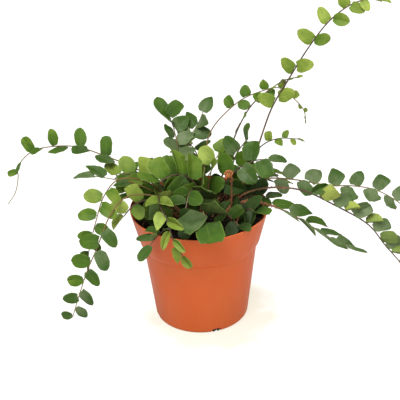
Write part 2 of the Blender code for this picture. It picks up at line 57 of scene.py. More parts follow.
Point = tuple[float, float, float]
Colour = tuple[float, float, float]
Range = tuple[float, float]
Rings = list[tuple[float, float]]  # the radius and height of each ring of a round body
Axes = tuple[Vector, Vector, Vector, Vector]  # a foot, then the length, width and upper directions
Piece = bpy.types.Object
Socket = bpy.types.NodeSocket
Surface = tuple[object, object, object]  # a colour, a roughness and a relief

MM = 0.001
ORIGIN = (0.0, 0.0, 0.0)
UP = Vector((0.0, 0.0, 1.0))
BODY = "root"
TONE = "tone"  # the attribute that tells how pale a vertex is
CLOSE = 0.01 * MM  # nearer than this, places are the same


# Handling of pieces

def only(*pieces: Piece) -> None:
    """Select some pieces and nothing else, and make the first of them active.

    Args:
        pieces: The objects to select, or none.
    """
    bpy.ops.object.select_all(action="DESELECT")
    for piece in pieces:
        piece.select_set(True)
    bpy.context.view_layer.objects.active = pieces[0] if pieces else None


def add(primitive: Callable[..., set[str]], name: str, **settings: object) -> Piece:
    """Add a primitive with nothing else selected, and move its place into its data.

    Args:
        primitive: The operator that adds it.
        name: The name of the new piece.
        settings: The operator's values.

    Returns:
        The new piece.
    """
    only()
    primitive(**{"location": ORIGIN, **settings})
    made = bpy.context.active_object
    made.name = name
    bpy.ops.object.transform_apply(location=True, rotation=True, scale=True)
    return made


@contextmanager
def editing(piece: Piece) -> Iterator[None]:
    """Edit one piece, with all its vertices selected and nothing else.

    Args:
        piece: The mesh object to edit.
    """
    only(piece)
    bpy.ops.object.mode_set(mode="EDIT")
    bpy.context.tool_settings.mesh_select_mode = (True, False, False)
    bpy.ops.mesh.select_all(action="SELECT")
    yield
    bpy.ops.object.mode_set(mode="OBJECT")


def pick(piece: Piece, test: Callable[[bmesh.types.BMVert], bool]) -> None:
    """Select the vertices of a piece in edit mode that pass a test.

    Args:
        piece: The mesh object being edited.
        test: Tells whether a vertex is to be selected.
    """
    shape = bmesh.from_edit_mesh(piece.data)
    for vertex in shape.verts:
        vertex.select = test(vertex)
    shape.select_flush_mode()
    bmesh.update_edit_mesh(piece.data)


def shift(piece: Piece, test: Callable[[bmesh.types.BMVert], bool], by: Point) -> None:
    """Move the vertices of a piece in edit mode that pass a test."""
    pick(piece, test)
    bpy.ops.transform.translate(value=by)


def modify(piece: Piece, kind: str, **settings: object) -> None:
    """Add a modifier to a piece and apply it.

    Args:
        piece: The object to modify.
        kind: The modifier's type.
        settings: The modifier's values by name.
    """
    modifier = piece.modifiers.new(kind.title(), kind)
    for name, value in settings.items():
        setattr(modifier, name, value)
    only(piece)
    bpy.ops.object.modifier_apply(modifier=modifier.name)


def twin(piece: Piece, place: Matrix | None = None) -> Piece:
    """Copy a piece, with its own mesh.

    Args:
        piece: The piece to copy.
        place: How the copy's mesh is moved, if it is.

    Returns:
        The copy.
    """
    copy = piece.copy()
    copy.data = piece.data.copy()
    if place is not None:
        copy.data.transform(place)
    bpy.context.scene.collection.objects.link(copy)
    return copy


def join(pieces: Sequence[Piece], name: str) -> Piece:
    """Join pieces in one object.

    Args:
        pieces: The objects to join, of which the first gives the material slots their order.
        name: The name of the joined object.

    Returns:
        The joined object.
    """
    only(*pieces)
    if len(pieces) > 1:
        bpy.ops.object.join()
    joined = bpy.context.view_layer.objects.active
    joined.name = joined.data.name = name
    return joined


def discard(pieces: Sequence[Piece]) -> None:
    """Remove pieces that were only patterns for others."""
    for piece in pieces:
        bpy.data.objects.remove(piece, do_unlink=True)


def smooth(piece: Piece, degrees: float) -> None:
    """Shade a piece smooth, except across edges sharper than an angle."""
    only(piece)
    bpy.ops.object.shade_smooth_by_angle(angle=math.radians(degrees))


def stain(piece: Piece, values: Sequence[float]) -> None:
    """Give each vertex of a piece its own tone, from 0 to 1."""
    tone = piece.data.attributes.get(TONE) or piece.data.attributes.new(TONE, "FLOAT", "POINT")
    tone.data.foreach_set("value", values)


def install(piece: Piece, node: str) -> Piece:
    """Put a finished piece in the place of its solid.

    Args:
        piece: The finished piece.
        node: The solid's name.

    Returns:
        The piece.
    """
    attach(piece, BODY)
    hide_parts(node)
    return piece


def search_tree(points: Sequence[Vector]) -> KDTree:
    """A tree that finds the nearest of some points.

    Args:
        points: The points, which it gives by their number.

    Returns:
        The tree.
    """
    tree = KDTree(len(points))
    for k, point in enumerate(points):
        tree.insert(point, k)
    tree.balance()
    return tree


def wire(name: str, points: Sequence[Vector], radii: Sequence[float], sides: int) -> Piece:
    """A closed tapered tube along a line, with its tone running from 0 at its foot to 1 at its tip.

    Args:
        name: The tube's name.
        points: The line's points.
        radii: The tube's radius at each point.
        sides: How finely the tube is rounded.

    Returns:
        The tube, as a mesh.
    """
    guide = add(bpy.ops.curve.primitive_nurbs_path_add, name)
    line = guide.data.splines[0]
    line.type = "POLY"
    line.points.add(len(points) - len(line.points))
    for handle, point, radius in zip(line.points, points, radii):
        handle.co = (*point, 1.0)
        handle.radius = radius
    guide.data.bevel_depth = 1.0
    guide.data.bevel_resolution = sides
    guide.data.use_fill_caps = True
    bpy.ops.object.convert(target="MESH")
    tube = bpy.context.active_object
    with editing(tube):
        bpy.ops.mesh.remove_doubles(threshold=CLOSE)
        bpy.ops.mesh.normals_make_consistent(inside=False)
    tree = search_tree(points)
    stain(tube, [tree.find(vertex.co)[1] / (len(points) - 1) for vertex in tube.data.vertices])
    return tube


# Finishes

class Graph:
    """The nodes of a material or a group, with a short call for each kind that the finishes use."""

    def __init__(self, tree: bpy.types.NodeTree, effects: Effects | None = None) -> None:
        """Start on a tree, with the shared effects at hand."""
        self.tree, self.effects = tree, effects

    def feed(self, socket: Socket, value: object) -> None:
        """Link an output to an input, or set the input's value.

        Args:
            socket: The input.
            value: An output socket, a number, or a colour without its alpha.
        """
        if isinstance(value, bpy.types.NodeSocket):
            self.tree.links.new(value, socket)
        else:
            socket.default_value = (*value, 1.0) if socket.type == "RGBA" else value

    def node(self, kind: str, settings: dict[str, object] | None = None, *values: object,
             **inputs: object) -> bpy.types.Node:
        """Add a node and fill its inputs.

        Args:
            kind: The node's type, without ShaderNode before it.
            settings: The node's own settings by name.
            values: What its first inputs get, in their order.
            inputs: What other inputs get, by name.

        Returns:
            The node.
        """
        made = self.tree.nodes.new("ShaderNode" + kind)
        for name, value in (settings or {}).items():
            setattr(made, name, value)
        for socket, value in zip(made.inputs, values):
            self.feed(socket, value)
        for name, value in inputs.items():
            self.feed(made.inputs[name], value)
        return made

    def sum(self, operation: str, first: object, second: object = 0.0) -> Socket:
        """What an operation makes of one or two values."""
        return self.node("Math", {"operation": operation}, first, second).outputs[0]

    def swing(self, value: object, reach: float) -> Socket:
        """A value around 0.5, made to swing around 0."""
        return self.sum("MULTIPLY", self.sum("SUBTRACT", value, 0.5), reach)

    def rest(self, share: object) -> Socket:
        """What a share leaves of 1."""
        return self.sum("SUBTRACT", 1.0, share)

    def span(self, value: object, low: object, high: object, start: float = 0.0, end: float = 1.0) -> Socket:
        """A value spread smoothly from low..high to start..end."""
        made = self.node("MapRange", {"interpolation_type": "SMOOTHSTEP"}, value, low, high, start, end)
        return made.outputs[0]

    def reach(self, x: object, y: object) -> Socket:
        """How far a point of the plane is from its origin."""
        return self.sum("SQRT", self.sum("ADD", self.sum("MULTIPLY", x, x), self.sum("MULTIPLY", y, y)))

    def place(self) -> Socket:
        """The point's place on the object."""
        return self.node("TexCoord").outputs["Object"]

    def split(self, place: object) -> Sequence[Socket]:
        """The three numbers of a place."""
        return self.node("SeparateXYZ", None, place).outputs

    def tone(self) -> Socket:
        """The tone that the piece's vertices carry."""
        return self.node("Attribute", {"attribute_name": TONE}).outputs["Fac"]

    def noise(self, place: object, scale: object, detail: float = 3.0) -> Socket:
        """A soft noise at a place, around 0.5."""
        return self.node("TexNoise", Vector=place, Scale=scale, Detail=detail).outputs["Fac"]

    def shared(self, group: bpy.types.NodeTree, *values: object) -> Sequence[Socket]:
        """The outputs of a shared effect, placed here with its own values."""
        return self.node("Group", {"node_tree": group}, *values).outputs

    def ramp(self, value: object, stops: Sequence[tuple[float, Colour]]) -> Socket:
        """A colour read from a scale of colours.

        Args:
            value: Where on the scale to read.
            stops: The place and the colour of each stop.

        Returns:
            The colour.
        """
        made = self.node("ValToRGB", None, value)
        scale = made.color_ramp
        while len(scale.elements) < len(stops):
            scale.elements.new(1.0)
        for stop, (place, colour) in zip(scale.elements, stops):
            stop.position, stop.color = place, (*colour, 1.0)
        return made.outputs["Color"]

    def blend(self, share: object, first: object, second: object) -> Socket:
        """A mix of two colours.

        Args:
            share: How much of the second colour it has.
            first: The first colour.
            second: The second colour.

        Returns:
            The mixed colour.
        """
        made = self.node("Mix", {"data_type": "RGBA"}, share)
        for socket, colour in zip(made.inputs[6:8], (first, second)):
            self.feed(socket, colour)
        return made.outputs[2]


def effect(name: str, inputs: dict[str, float | None],
           wire_up: Callable[..., dict[str, Socket]]) -> bpy.types.NodeTree:
    """A node group for an effect that several finishes share.

    Args:
        name: The group's name.
        inputs: The default of each input by name, or None for a place.
        wire_up: Wires the group's nodes from its graph and inputs, and gives its outputs by name.

    Returns:
        The node group.
    """
    tree = bpy.data.node_groups.new(name, "ShaderNodeTree")
    for label, default in inputs.items():
        kind = "NodeSocketVector" if default is None else "NodeSocketFloat"
        socket = tree.interface.new_socket(label, in_out="INPUT", socket_type=kind)
        if default is not None:
            socket.default_value = default
    entry = tree.nodes.new("NodeGroupInput")
    made = wire_up(Graph(tree), *(entry.outputs[label] for label in inputs))
    for label in made:
        tree.interface.new_socket(label, in_out="OUTPUT", socket_type="NodeSocketFloat")
    leaving = tree.nodes.new("NodeGroupOutput")
    for label, socket in made.items():
        tree.links.new(socket, leaving.inputs[label])
    return tree


def wire_mottle(graph: Graph, place: Socket, patch: Socket, grain: Socket) -> dict[str, Socket]:
    """Wire broad patches and fine grains, both around 0.5."""
    return {"Patches": graph.noise(place, patch, 2.0), "Grains": graph.noise(place, grain, 4.0)}


# On a leaflet, as shares of its length or width
SLANT = 0.55  # how far the side veins run ahead towards the edge
VEIN_HEIGHT = 0.25  # how high they are beside the midrib
RIB_FADING = (0.45, 0.95)
MARGIN = (0.44, 0.5)
FOOT_END = (0.045, 0.085)


def wire_veins(graph: Graph, run: Socket, width: Socket, ribs: Socket) -> dict[str, Socket]:
    """Wire a leaflet's midrib, margin and stalk, and the relief of its side veins.

    Args:
        graph: The group's nodes.
        run: How far along and across the leaflet the point is.
        width: The midrib's half width, as a share of the leaflet's.
        ribs: How many side veins there are.

    Returns:
        The outputs.
    """
    along, across, _ = graph.split(run)
    off_middle = graph.sum("ABSOLUTE", graph.sum("SUBTRACT", across, 0.5))
    midrib = graph.rest(graph.span(off_middle, 0.0, width))
    slanted = graph.sum("SUBTRACT", along, graph.sum("MULTIPLY", off_middle, SLANT))
    waves = graph.sum("SINE", graph.sum("MULTIPLY", graph.sum("MULTIPLY", slanted, ribs), math.tau))
    return {
        "Midrib": graph.sum("MULTIPLY", midrib, graph.rest(graph.span(along, *RIB_FADING))),
        "Margin": graph.span(off_middle, *MARGIN),
        "Foot": graph.rest(graph.span(along, *FOOT_END)),
        "Relief": graph.sum("SUBTRACT", graph.sum("MULTIPLY", waves, VEIN_HEIGHT), midrib),
    }


class Effects:
    """The effects that several finishes share, each built once."""

    def __init__(self) -> None:
        """Build the node groups."""
        self.mottle = effect("mottle", {"Place": None, "Patch": 100.0, "Grain": 900.0}, wire_mottle)
        self.veins = effect("veins", {"Run": None, "Midrib": 0.05, "Ribs": 11.0}, wire_veins)


@dataclass(frozen=True)
class Finish:
    """What a surface looks like. Each kind of finish paints its own colour, roughness and relief.

    Attributes:
        name: The material's name.
        shine: Its roughness, before what varies over it.
        level: How strongly it reflects, where 0.5 is usual.
        sheen: How far its roughness varies down and up.
        patch: How close together its broad patches lie.
        grain: How close together its fine grains lie.
        uneven: How far its tone swings from patch to patch.
        depth: The height of its relief in metres.
    """

    name: str
    shine: float = 0.5
    level: float = 0.5
    sheen: Range = (-0.07, 0.10)
    patch: float = 160.0
    grain: float = 1500.0
    uneven: float = 0.34
    depth: float = 0.12 * MM

    USUAL = (0.3, 0.7)  # what a noise seldom leaves

    def paint(self, graph: Graph) -> Surface:
        """Paint the surface.

        Args:
            graph: The material's nodes.

        Returns:
            The colour, the roughness and the relief.
        """
        raise NotImplementedError

    def build(self, effects: Effects) -> bpy.types.Material:
        """Make the material.

        Args:
            effects: The shared effects.

        Returns:
            The material.
        """
        made = bpy.data.materials.new(self.name)
        made.use_nodes = True
        graph = Graph(made.node_tree, effects)
        shader = made.node_tree.nodes["Principled BSDF"]
        colour, roughness, relief = self.paint(graph)
        graph.feed(shader.inputs["Base Color"], colour)
        graph.feed(shader.inputs["Roughness"], roughness)
        shader.inputs["Specular IOR Level"].default_value = self.level
        bump = graph.node("Bump", Height=relief, Distance=self.depth)
        graph.feed(shader.inputs["Normal"], bump.outputs["Normal"])
        return made

    def mottle(self, graph: Graph, place: Socket) -> tuple[Socket, Socket]:
        """The patches and the grains of this finish, both around 0.5."""
        patches, grains = graph.shared(graph.effects.mottle, place, self.patch, self.grain)
        return patches, grains

    def gloss(self, graph: Graph, value: Socket) -> Socket:
        """The roughness, varied by a value around 0.5."""
        return graph.span(value, *self.USUAL, *(self.shine + vary for vary in self.sheen))


@dataclass(frozen=True)
class LeafFinish(Finish):
    """A leaflet's side, from the darkest leaflets to the palest.

    Attributes:
        greens: The colours on equal steps of the tone, from 0 to 1.
        rib: The midrib's colour, and how strongly it shows.
        edge: The margin's colour, and how strongly it shows.
        stalk: The colour of the little stalk.
        paler: What the tone gains near the leaflet's foot and near its tip.
        grainy: How far its tone swings from grain to grain.
        painted_crown_shade: Painted shade, the dark colour that leaflets turn to low in the crown, and how
            far they do.
        crown: The heights between which the crown opens to the light, in metres.
        girth: The distances from the pot's axis between which it does, in metres.
    """

    greens: tuple[Colour, ...] = ()
    rib: tuple[Colour, float] = ((0.3, 0.4, 0.1), 0.3)
    edge: tuple[Colour, float] = ((0.3, 0.4, 0.1), 0.2)
    stalk: Colour = (0.06, 0.025, 0.015)
    paler: Range = (-0.07, 0.09)
    grainy: float = 0.12
    painted_crown_shade: tuple[Colour, float] = ((0.006, 0.014, 0.002), 0.78)
    crown: Range = (104.0 * MM, 148.0 * MM)
    girth: Range = (50.0 * MM, 71.0 * MM)

    def paint(self, graph: Graph) -> Surface:
        """Paint it green by its tone, with mottling, a midrib, a margin, side veins in low relief, and
        painted shade low in the crown.

        Args:
            graph: The material's nodes.

        Returns:
            The colour, the roughness and the relief.
        """
        run = graph.node("UVMap").outputs["UV"]
        midrib, margin, foot, veins = graph.shared(graph.effects.veins, run)
        place = graph.place()
        patches, grains = self.mottle(graph, place)
        uneven = graph.sum("ADD", graph.swing(patches, self.uneven), graph.swing(grains, self.grainy))
        paler = graph.span(graph.split(run)[0], 0.1, 0.95, *self.paler)
        tone = graph.sum("ADD", graph.sum("ADD", graph.tone(), paler), uneven)
        last = len(self.greens) - 1
        colour = graph.ramp(tone, [(k / last, green) for k, green in enumerate(self.greens)])
        for share, (tint, strength) in ((midrib, self.rib), (margin, self.edge)):
            colour = graph.blend(graph.sum("MULTIPLY", share, strength), colour, tint)
        colour = graph.blend(foot, colour, self.stalk)
        # Painted shade: leaflets low in the crown and near the pot's axis are darkened, standing in for the
        # shade the crown casts on them.
        x, y, height = graph.split(place)
        lit = graph.sum("MAXIMUM", graph.span(height, *self.crown),
                        graph.span(graph.reach(x, y), *self.girth))
        colour = graph.blend(graph.span(lit, 0.0, 1.0, self.painted_crown_shade[1], 0.0), colour, self.painted_crown_shade[0])
        relief = graph.sum("ADD", veins, graph.sum("MULTIPLY", grains, 0.8))
        return colour, self.gloss(graph, patches), relief


@dataclass(frozen=True)
class StalkFinish(Finish):
    """A wiry stalk: one colour at its foot, another along most of it, and a third towards its tip.

    Attributes:
        foot: The colour at the foot, where the tone is 0.
        middle: The colour along most of it.
        tip: The colour at the tip, where the tone is 1.
        stops: The tones where the foot ends, the middle starts and ends, and the tip starts.
        flecks: Between which grains its lighter flecks start, and how strongly they show.
        lighter: How much lighter they are.
    """

    patch: float = 260.0
    grain: float = 2600.0
    uneven: float = 0.35
    depth: float = 0.15 * MM
    foot: Colour = (0.200, 0.105, 0.040)
    middle: Colour = (0.040, 0.021, 0.015)
    tip: Colour = (0.085, 0.060, 0.026)
    stops: tuple[float, ...] = (0.12, 0.42, 0.72, 1.0)
    flecks: tuple[float, ...] = (0.52, 0.72, 0.0, 0.45)
    lighter: float = 1.9

    def paint(self, graph: Graph) -> Surface:
        """Paint it along its length, flecked lighter and darker.

        Args:
            graph: The material's nodes.

        Returns:
            The colour, the roughness and the relief.
        """
        patches, grains = self.mottle(graph, graph.place())
        tone = graph.sum("ADD", graph.tone(), graph.swing(patches, self.uneven))
        along = graph.ramp(tone, list(zip(self.stops, (self.foot, self.middle, self.middle, self.tip))))
        light = tuple(min(1.0, c * self.lighter + 0.01) for c in self.middle)
        return graph.blend(graph.span(grains, *self.flecks), along, light), self.shine, grains


@dataclass(frozen=True)
class FurFinish(Finish):
    """Fine hairs and scales, paler at their tips.

    Attributes:
        root: The colour where the tone is 0.
        tip: The colour from a tone of half on.
        half: That tone.
    """

    patch: float = 420.0
    grain: float = 3000.0
    uneven: float = 0.9
    depth: float = 0.1 * MM
    root: Colour = (0.32, 0.090, 0.020)
    tip: Colour = (0.66, 0.25, 0.070)
    half: float = 0.55

    def paint(self, graph: Graph) -> Surface:
        """Paint it from root to tip, uneven from one hair to the next.

        Args:
            graph: The material's nodes.

        Returns:
            The colour, the roughness and the relief.
        """
        patches, grains = self.mottle(graph, graph.place())
        tone = graph.sum("ADD", graph.tone(), graph.swing(patches, self.uneven))
        colour = graph.ramp(tone, [(0.0, self.root), (self.half, self.tip), (1.0, self.tip)])
        return colour, self.shine, grains


@dataclass(frozen=True)
class PlasticFinish(Finish):
    """The pot's terracotta-coloured plastic. Its heights and distances are in metres.

    Attributes:
        colour: Its own colour.
        worn: Its colour where it is paler, in faint patches and along the rim.
        soiled: Its colour where damp mix has left a film.
        painted_step_light: A deeper, redder colour in the step under the collar, painted light standing in
            for the wall's reddish light there.
        streaks: How close together its streaks lie across, and up as a share of that.
        faded: How strongly its worn colour shows in its patches, in its streaks and at the rim.
        rim: The heights between which it gets paler towards the rim.
        splash: The heights between which the film at the foot ends, and how ragged that end is.
        haze: The heights between which a faint film above it ends.
        films: How strongly the two films show.
        step: The height of the step under the collar.
        fold: The distances from that height between which that painted light ends, and how strong it is.
    """

    shine: float = 0.5
    sheen: Range = (-0.05, 0.08)
    patch: float = 28.0
    grain: float = 1400.0
    depth: float = 0.03 * MM
    colour: Colour = (0.430, 0.073, 0.012)
    worn: Colour = (0.445, 0.102, 0.029)
    soiled: Colour = (0.16, 0.032, 0.008)
    painted_step_light: Colour = (0.50, 0.072, 0.004)
    streaks: Range = (160.0, 0.08)
    faded: Point = (0.27, 0.21, 0.5)
    rim: Range = (102.0 * MM, 105.0 * MM)
    splash: Point = (-3.0 * MM, 3.0 * MM, -4.0 * MM)
    haze: Range = (5.0 * MM, 62.0 * MM)
    films: Range = (0.35, 0.17)
    step: float = 73.8 * MM
    fold: Point = (0.8 * MM, 2.4 * MM, 0.8)

    def paint(self, graph: Graph) -> Surface:
        """Paint it nearly even, paler at the rim, with a faint film at the foot, painted light in the step
        under the collar and a fine moulded grain.

        Args:
            graph: The material's nodes.

        Returns:
            The colour, the roughness and the relief.
        """
        place = graph.place()
        patches, grains = self.mottle(graph, place)
        height = graph.split(place)[2]
        drawn_out = graph.node("Mapping", Vector=place)
        drawn_out.inputs["Scale"].default_value = (1.0, 1.0, self.streaks[1])
        streaks = graph.noise(drawn_out.outputs["Vector"], self.streaks[0])
        in_patches, in_streaks, at_rim = self.faded
        pale = graph.sum("ADD", graph.span(patches, 0.35, 0.7, 0.0, in_patches),
                         graph.span(streaks, 0.5, 0.8, 0.0, in_streaks))
        worn = graph.sum("MAXIMUM", pale, graph.span(height, *self.rim, 0.0, at_rim))
        low, high, ragged = self.splash
        splash = graph.sum("ADD", height, graph.sum("MULTIPLY", patches, ragged))
        film = graph.sum("MAXIMUM", graph.span(splash, low, high, self.films[0], 0.0),
                         graph.span(height, *self.haze, self.films[1], 0.0))
        off_step = graph.sum("ABSOLUTE", graph.sum("SUBTRACT", height, self.step))
        colour = graph.blend(film, graph.blend(worn, self.colour, self.worn), self.soiled)
        # Painted light: a deeper red in the step under the collar, standing in for the wall's reddish light
        # there.
        colour = graph.blend(graph.span(off_step, *self.fold, 0.0), colour, self.painted_step_light)
        return colour, self.gloss(graph, streaks), grains


@dataclass(frozen=True)
class MixFinish(Finish):
    """Damp potting mix, in crumbs and fibres from nearly black to brown.

    Attributes:
        browns: The colours from the darkest to the lightest.
        crumb: How close together the crumbs lie.
        weights: How much the crumbs and the grains add to the tone.
    """

    patch: float = 240.0
    grain: float = 1300.0
    depth: float = 0.9 * MM
    browns: tuple[Colour, ...] = (
        (0.003, 0.002, 0.001), (0.007, 0.004, 0.003), (0.018, 0.011, 0.007), (0.05, 0.030, 0.017))
    crumb: float = 420.0
    weights: Range = (0.45, 0.5)

    def paint(self, graph: Graph) -> Surface:
        """Paint it brown by crumb and by grain, with a rough relief.

        Args:
            graph: The material's nodes.

        Returns:
            The colour, the roughness and the relief.
        """
        place = graph.place()
        grains = self.mottle(graph, place)[1]
        crumbs = graph.node("TexVoronoi", Vector=place, Scale=self.crumb)
        crumb = graph.node("SeparateColor", Color=crumbs.outputs["Color"]).outputs[0]
        parts = (graph.sum("MULTIPLY", *pair) for pair in zip((crumb, grains), self.weights))
        tone = graph.sum("ADD", *parts)
        last = len(self.browns) - 1
        colour = graph.ramp(tone, [(0.2 + 0.75 * k / last, brown) for k, brown in enumerate(self.browns)])
        relief = graph.sum("SUBTRACT", grains, graph.sum("MULTIPLY", crumbs.outputs["Distance"], 0.8))
        return colour, self.shine, relief


@dataclass(frozen=True)
class FloorFinish(Finish):
    """The pale floor, lit from within so that shadows on it stay faint, with a painted cream shadow round the
    pot.

    Attributes:
        colour: How much of the light it gives back.
        glow: The colour that it gives off.
        painted_cream_shadow: The dimmer, creamier colour that it gives off close to the pot, a painted
            shadow.
        fading: The distances between which that painted shadow fades, in metres.
        ragged: How uneven those distances are, in metres.
        middle: The middle of the painted shadow.
    """

    patch: float = 6.0
    grain: float = 30.0
    depth: float = 0.01 * MM
    colour: Colour = (0.11, 0.108, 0.102)
    glow: Colour = (1.06, 1.05, 1.04)
    painted_cream_shadow: Colour = (0.84, 0.78, 0.66)
    fading: Range = (44.0 * MM, 71.0 * MM)
    ragged: float = 50.0 * MM
    middle: Range = (11.0 * MM, -9.0 * MM)

    def build(self, effects: Effects) -> bpy.types.Material:
        """Make the material, with the light that it gives off.

        Args:
            effects: The shared effects.

        Returns:
            The material.
        """
        made = super().build(effects)
        graph = Graph(made.node_tree)
        place = graph.place()
        x, y = (graph.sum("SUBTRACT", side, middle) for side, middle in zip(graph.split(place), self.middle))
        ragged = graph.swing(graph.noise(place, self.grain), self.ragged)
        # Painted shadow: close to the pot the floor gives off a dimmer, creamier light.
        share = graph.span(graph.sum("ADD", graph.reach(x, y), ragged), *self.fading)
        shader = made.node_tree.nodes["Principled BSDF"]
        graph.feed(shader.inputs["Emission Color"], graph.blend(share, self.painted_cream_shadow, self.glow))
        shader.inputs["Emission Strength"].default_value = 1.0
        return made

    def paint(self, graph: Graph) -> Surface:
        """Paint it in one pale colour with a trace of unevenness."""
        uneven = graph.noise(graph.place(), self.patch)
        return graph.blend(uneven, self.colour, tuple(c * 0.985 for c in self.colour)), self.shine, uneven


# The first upper green, greyer and lighter than the second, is a painted reflection: the sky's sheen on the
# darkest leaflets.
UPPER_GREENS = ((0.078, 0.106, 0.047), (0.026, 0.056, 0.009), (0.043, 0.087, 0.007), (0.110, 0.152, 0.021),
                (0.220, 0.275, 0.052))
UNDER_GREENS = ((0.042, 0.066, 0.026), (0.070, 0.106, 0.028), (0.120, 0.164, 0.036), (0.200, 0.246, 0.048),
                (0.300, 0.335, 0.080))


class Finishes:
    """Every material of the plant, its pot and the floor, built once."""

    def __init__(self) -> None:
        """Build the materials from their finishes."""
        shared = Effects()
        # On the upper side the pale margin is partly the leaflets' own paler rim and partly a painted
        # highlight along their edges.
        self.upper = LeafFinish("leaflet_upper", 0.44, 0.08, greens=UPPER_GREENS,
                                rib=((0.16, 0.20, 0.05), 0.14), edge=((0.2, 0.25, 0.06), 0.22)).build(shared)
        self.under = LeafFinish("leaflet_under", 0.62, 0.08, greens=UNDER_GREENS,
                                rib=((0.26, 0.30, 0.10), 0.25), edge=((0.12, 0.10, 0.04), 0.3)).build(shared)
        self.stalk = StalkFinish("wiry_stalk", 0.42, 0.25).build(shared)
        self.pale_stalk = StalkFinish("pale_stalk", 0.5, 0.1, foot=(0.12, 0.07, 0.03),
                                      middle=(0.105, 0.068, 0.025), tip=(0.15, 0.13, 0.055)).build(shared)
        self.rusty_stalk = StalkFinish("rusty_stalk", 0.55, 0.15, foot=(0.14, 0.052, 0.022),
                                       middle=(0.100, 0.044, 0.023), tip=(0.06, 0.036, 0.020)).build(shared)
        self.fur = FurFinish("rusty_fur", 0.7, 0.3).build(shared)
        self.brown_fur = FurFinish("brown_fur", 0.75, 0.2, root=(0.11, 0.036, 0.015),
                                   tip=(0.34, 0.130, 0.055)).build(shared)
        self.plastic = PlasticFinish("terracotta_plastic_moulded", 0.5, 0.18).build(shared)
        self.mix = MixFinish("damp_potting_mix", 0.93, 0.1).build(shared)
        self.floor = FloorFinish("pale_floor", 0.9, 0.1).build(shared)


# Leaflets

class LeafForm(Enum):
    """The shapes that leaflets come in."""

    ROUND = "round"
    OBLONG = "oblong"
    FOLDED = "folded"
    KIDNEY = "kidney"
    BROAD = "broad"
    POINTED = "pointed"


class Habit(Enum):
    """The leaflet shapes that a frond carries, each as often as it is named."""

    ROUND = (LeafForm.ROUND, LeafForm.KIDNEY, LeafForm.POINTED, LeafForm.OBLONG, LeafForm.ROUND)
    OBLONG = (LeafForm.OBLONG, LeafForm.ROUND, LeafForm.OBLONG)
    OVAL = (LeafForm.ROUND, LeafForm.KIDNEY, LeafForm.ROUND)
    MIXED = (LeafForm.ROUND, LeafForm.FOLDED, LeafForm.OBLONG, LeafForm.BROAD)
    NARROW = (LeafForm.POINTED, LeafForm.FOLDED)
    SLENDER = (LeafForm.POINTED, LeafForm.POINTED, LeafForm.FOLDED)
    BLUNT = (LeafForm.BROAD, LeafForm.KIDNEY, LeafForm.ROUND, LeafForm.BROAD)
    KIDNEY = (LeafForm.KIDNEY, LeafForm.KIDNEY, LeafForm.ROUND)
    BROAD = (LeafForm.BROAD,)


class Shade(Enum):
    """How dark a row of leaflets is, as a tone."""

    # Painted reflection: on the upper side this tone reads as a greyer, lighter green, the sky's sheen on
    # these dark leaflets.
    DEEP_SHEENED = 0.04
    DARK = 0.27
    MID = 0.42
    FRESH = 0.60
    BRIGHT = 0.78


@dataclass(frozen=True)
class LeafletPattern:
    """A leaflet, one unit long and one unit wide, with its stalk's foot at the origin and its tip towards +X.

    Attributes:
        outline: Each row's share of the length and half its width, from the base of the blade to its tip.
        fold: How far each half is raised from the flat, in degrees.
        curl: How far the edges turn down, as a share of the width.
        wave: How far the edges ripple, as a share of the width.
        lobe: How far the corners of the base reach back past the stalk, as a share of the length.
    """

    outline: tuple[Range, ...]
    fold: float = 8.0
    curl: float = 0.05
    wave: float = 0.015
    lobe: float = 0.05

    STALK = ((0.0, 0.030), (0.06, 0.026))  # the rows of the little stalk
    COLUMNS = 4
    BLUNTING = 0.022  # how far the corners of the tip are drawn back
    GROOVE = 0.012  # how deep the middle lies
    RIPPLE = (2.3, 0.6)  # how fast the edges ripple from row to row, and where that starts

    def model(self, name: str) -> Piece:
        """Model the leaflet as a thin sheet.

        Args:
            name: The sheet's name.

        Returns:
            The sheet, with its upper side up.
        """
        outline = (*self.STALK, *self.outline)
        rows = len(outline)
        blade, edges = range(len(self.STALK), rows), (0, self.COLUMNS)

        def at(chosen: Sequence[int], columns: Sequence[int]) -> Callable[[bmesh.types.BMVert], bool]:
            """A test for the vertices of some rows and columns."""
            return lambda v: v.index % rows in chosen and v.index // rows in columns

        sheet = add(bpy.ops.mesh.primitive_grid_add, name, x_subdivisions=rows - 1,
                    y_subdivisions=self.COLUMNS, size=1.0, location=(0.5, 0.0, 0.0))
        with editing(sheet):
            for k, (share, half) in enumerate(outline):
                pick(sheet, at((k,), range(self.COLUMNS + 1)))
                bpy.ops.transform.resize(value=(1.0, 2.0 * half, 1.0), center_override=ORIGIN)
                bpy.ops.transform.translate(value=(share - k / (rows - 1), 0.0, 0.0))
            shift(sheet, at(blade[:1], edges), (-self.lobe, 0.0, 0.0))
            shift(sheet, at(blade[-1:], edges), (-self.BLUNTING, 0.0, 0.0))
            for fold, half in ((-self.fold, (3, 4)), (self.fold, (0, 1))):
                pick(sheet, at(range(rows), half))
                bpy.ops.transform.rotate(value=math.radians(fold), orient_axis="X", center_override=ORIGIN)
            shift(sheet, at(blade, edges), (0.0, 0.0, -self.curl))
            shift(sheet, at(blade, (2,)), (0.0, 0.0, -self.GROOVE))
            fast, start = self.RIPPLE
            for k in blade:
                shift(sheet, at((k,), edges), (0.0, 0.0, self.wave * math.sin(fast * k + start)))
        return sheet


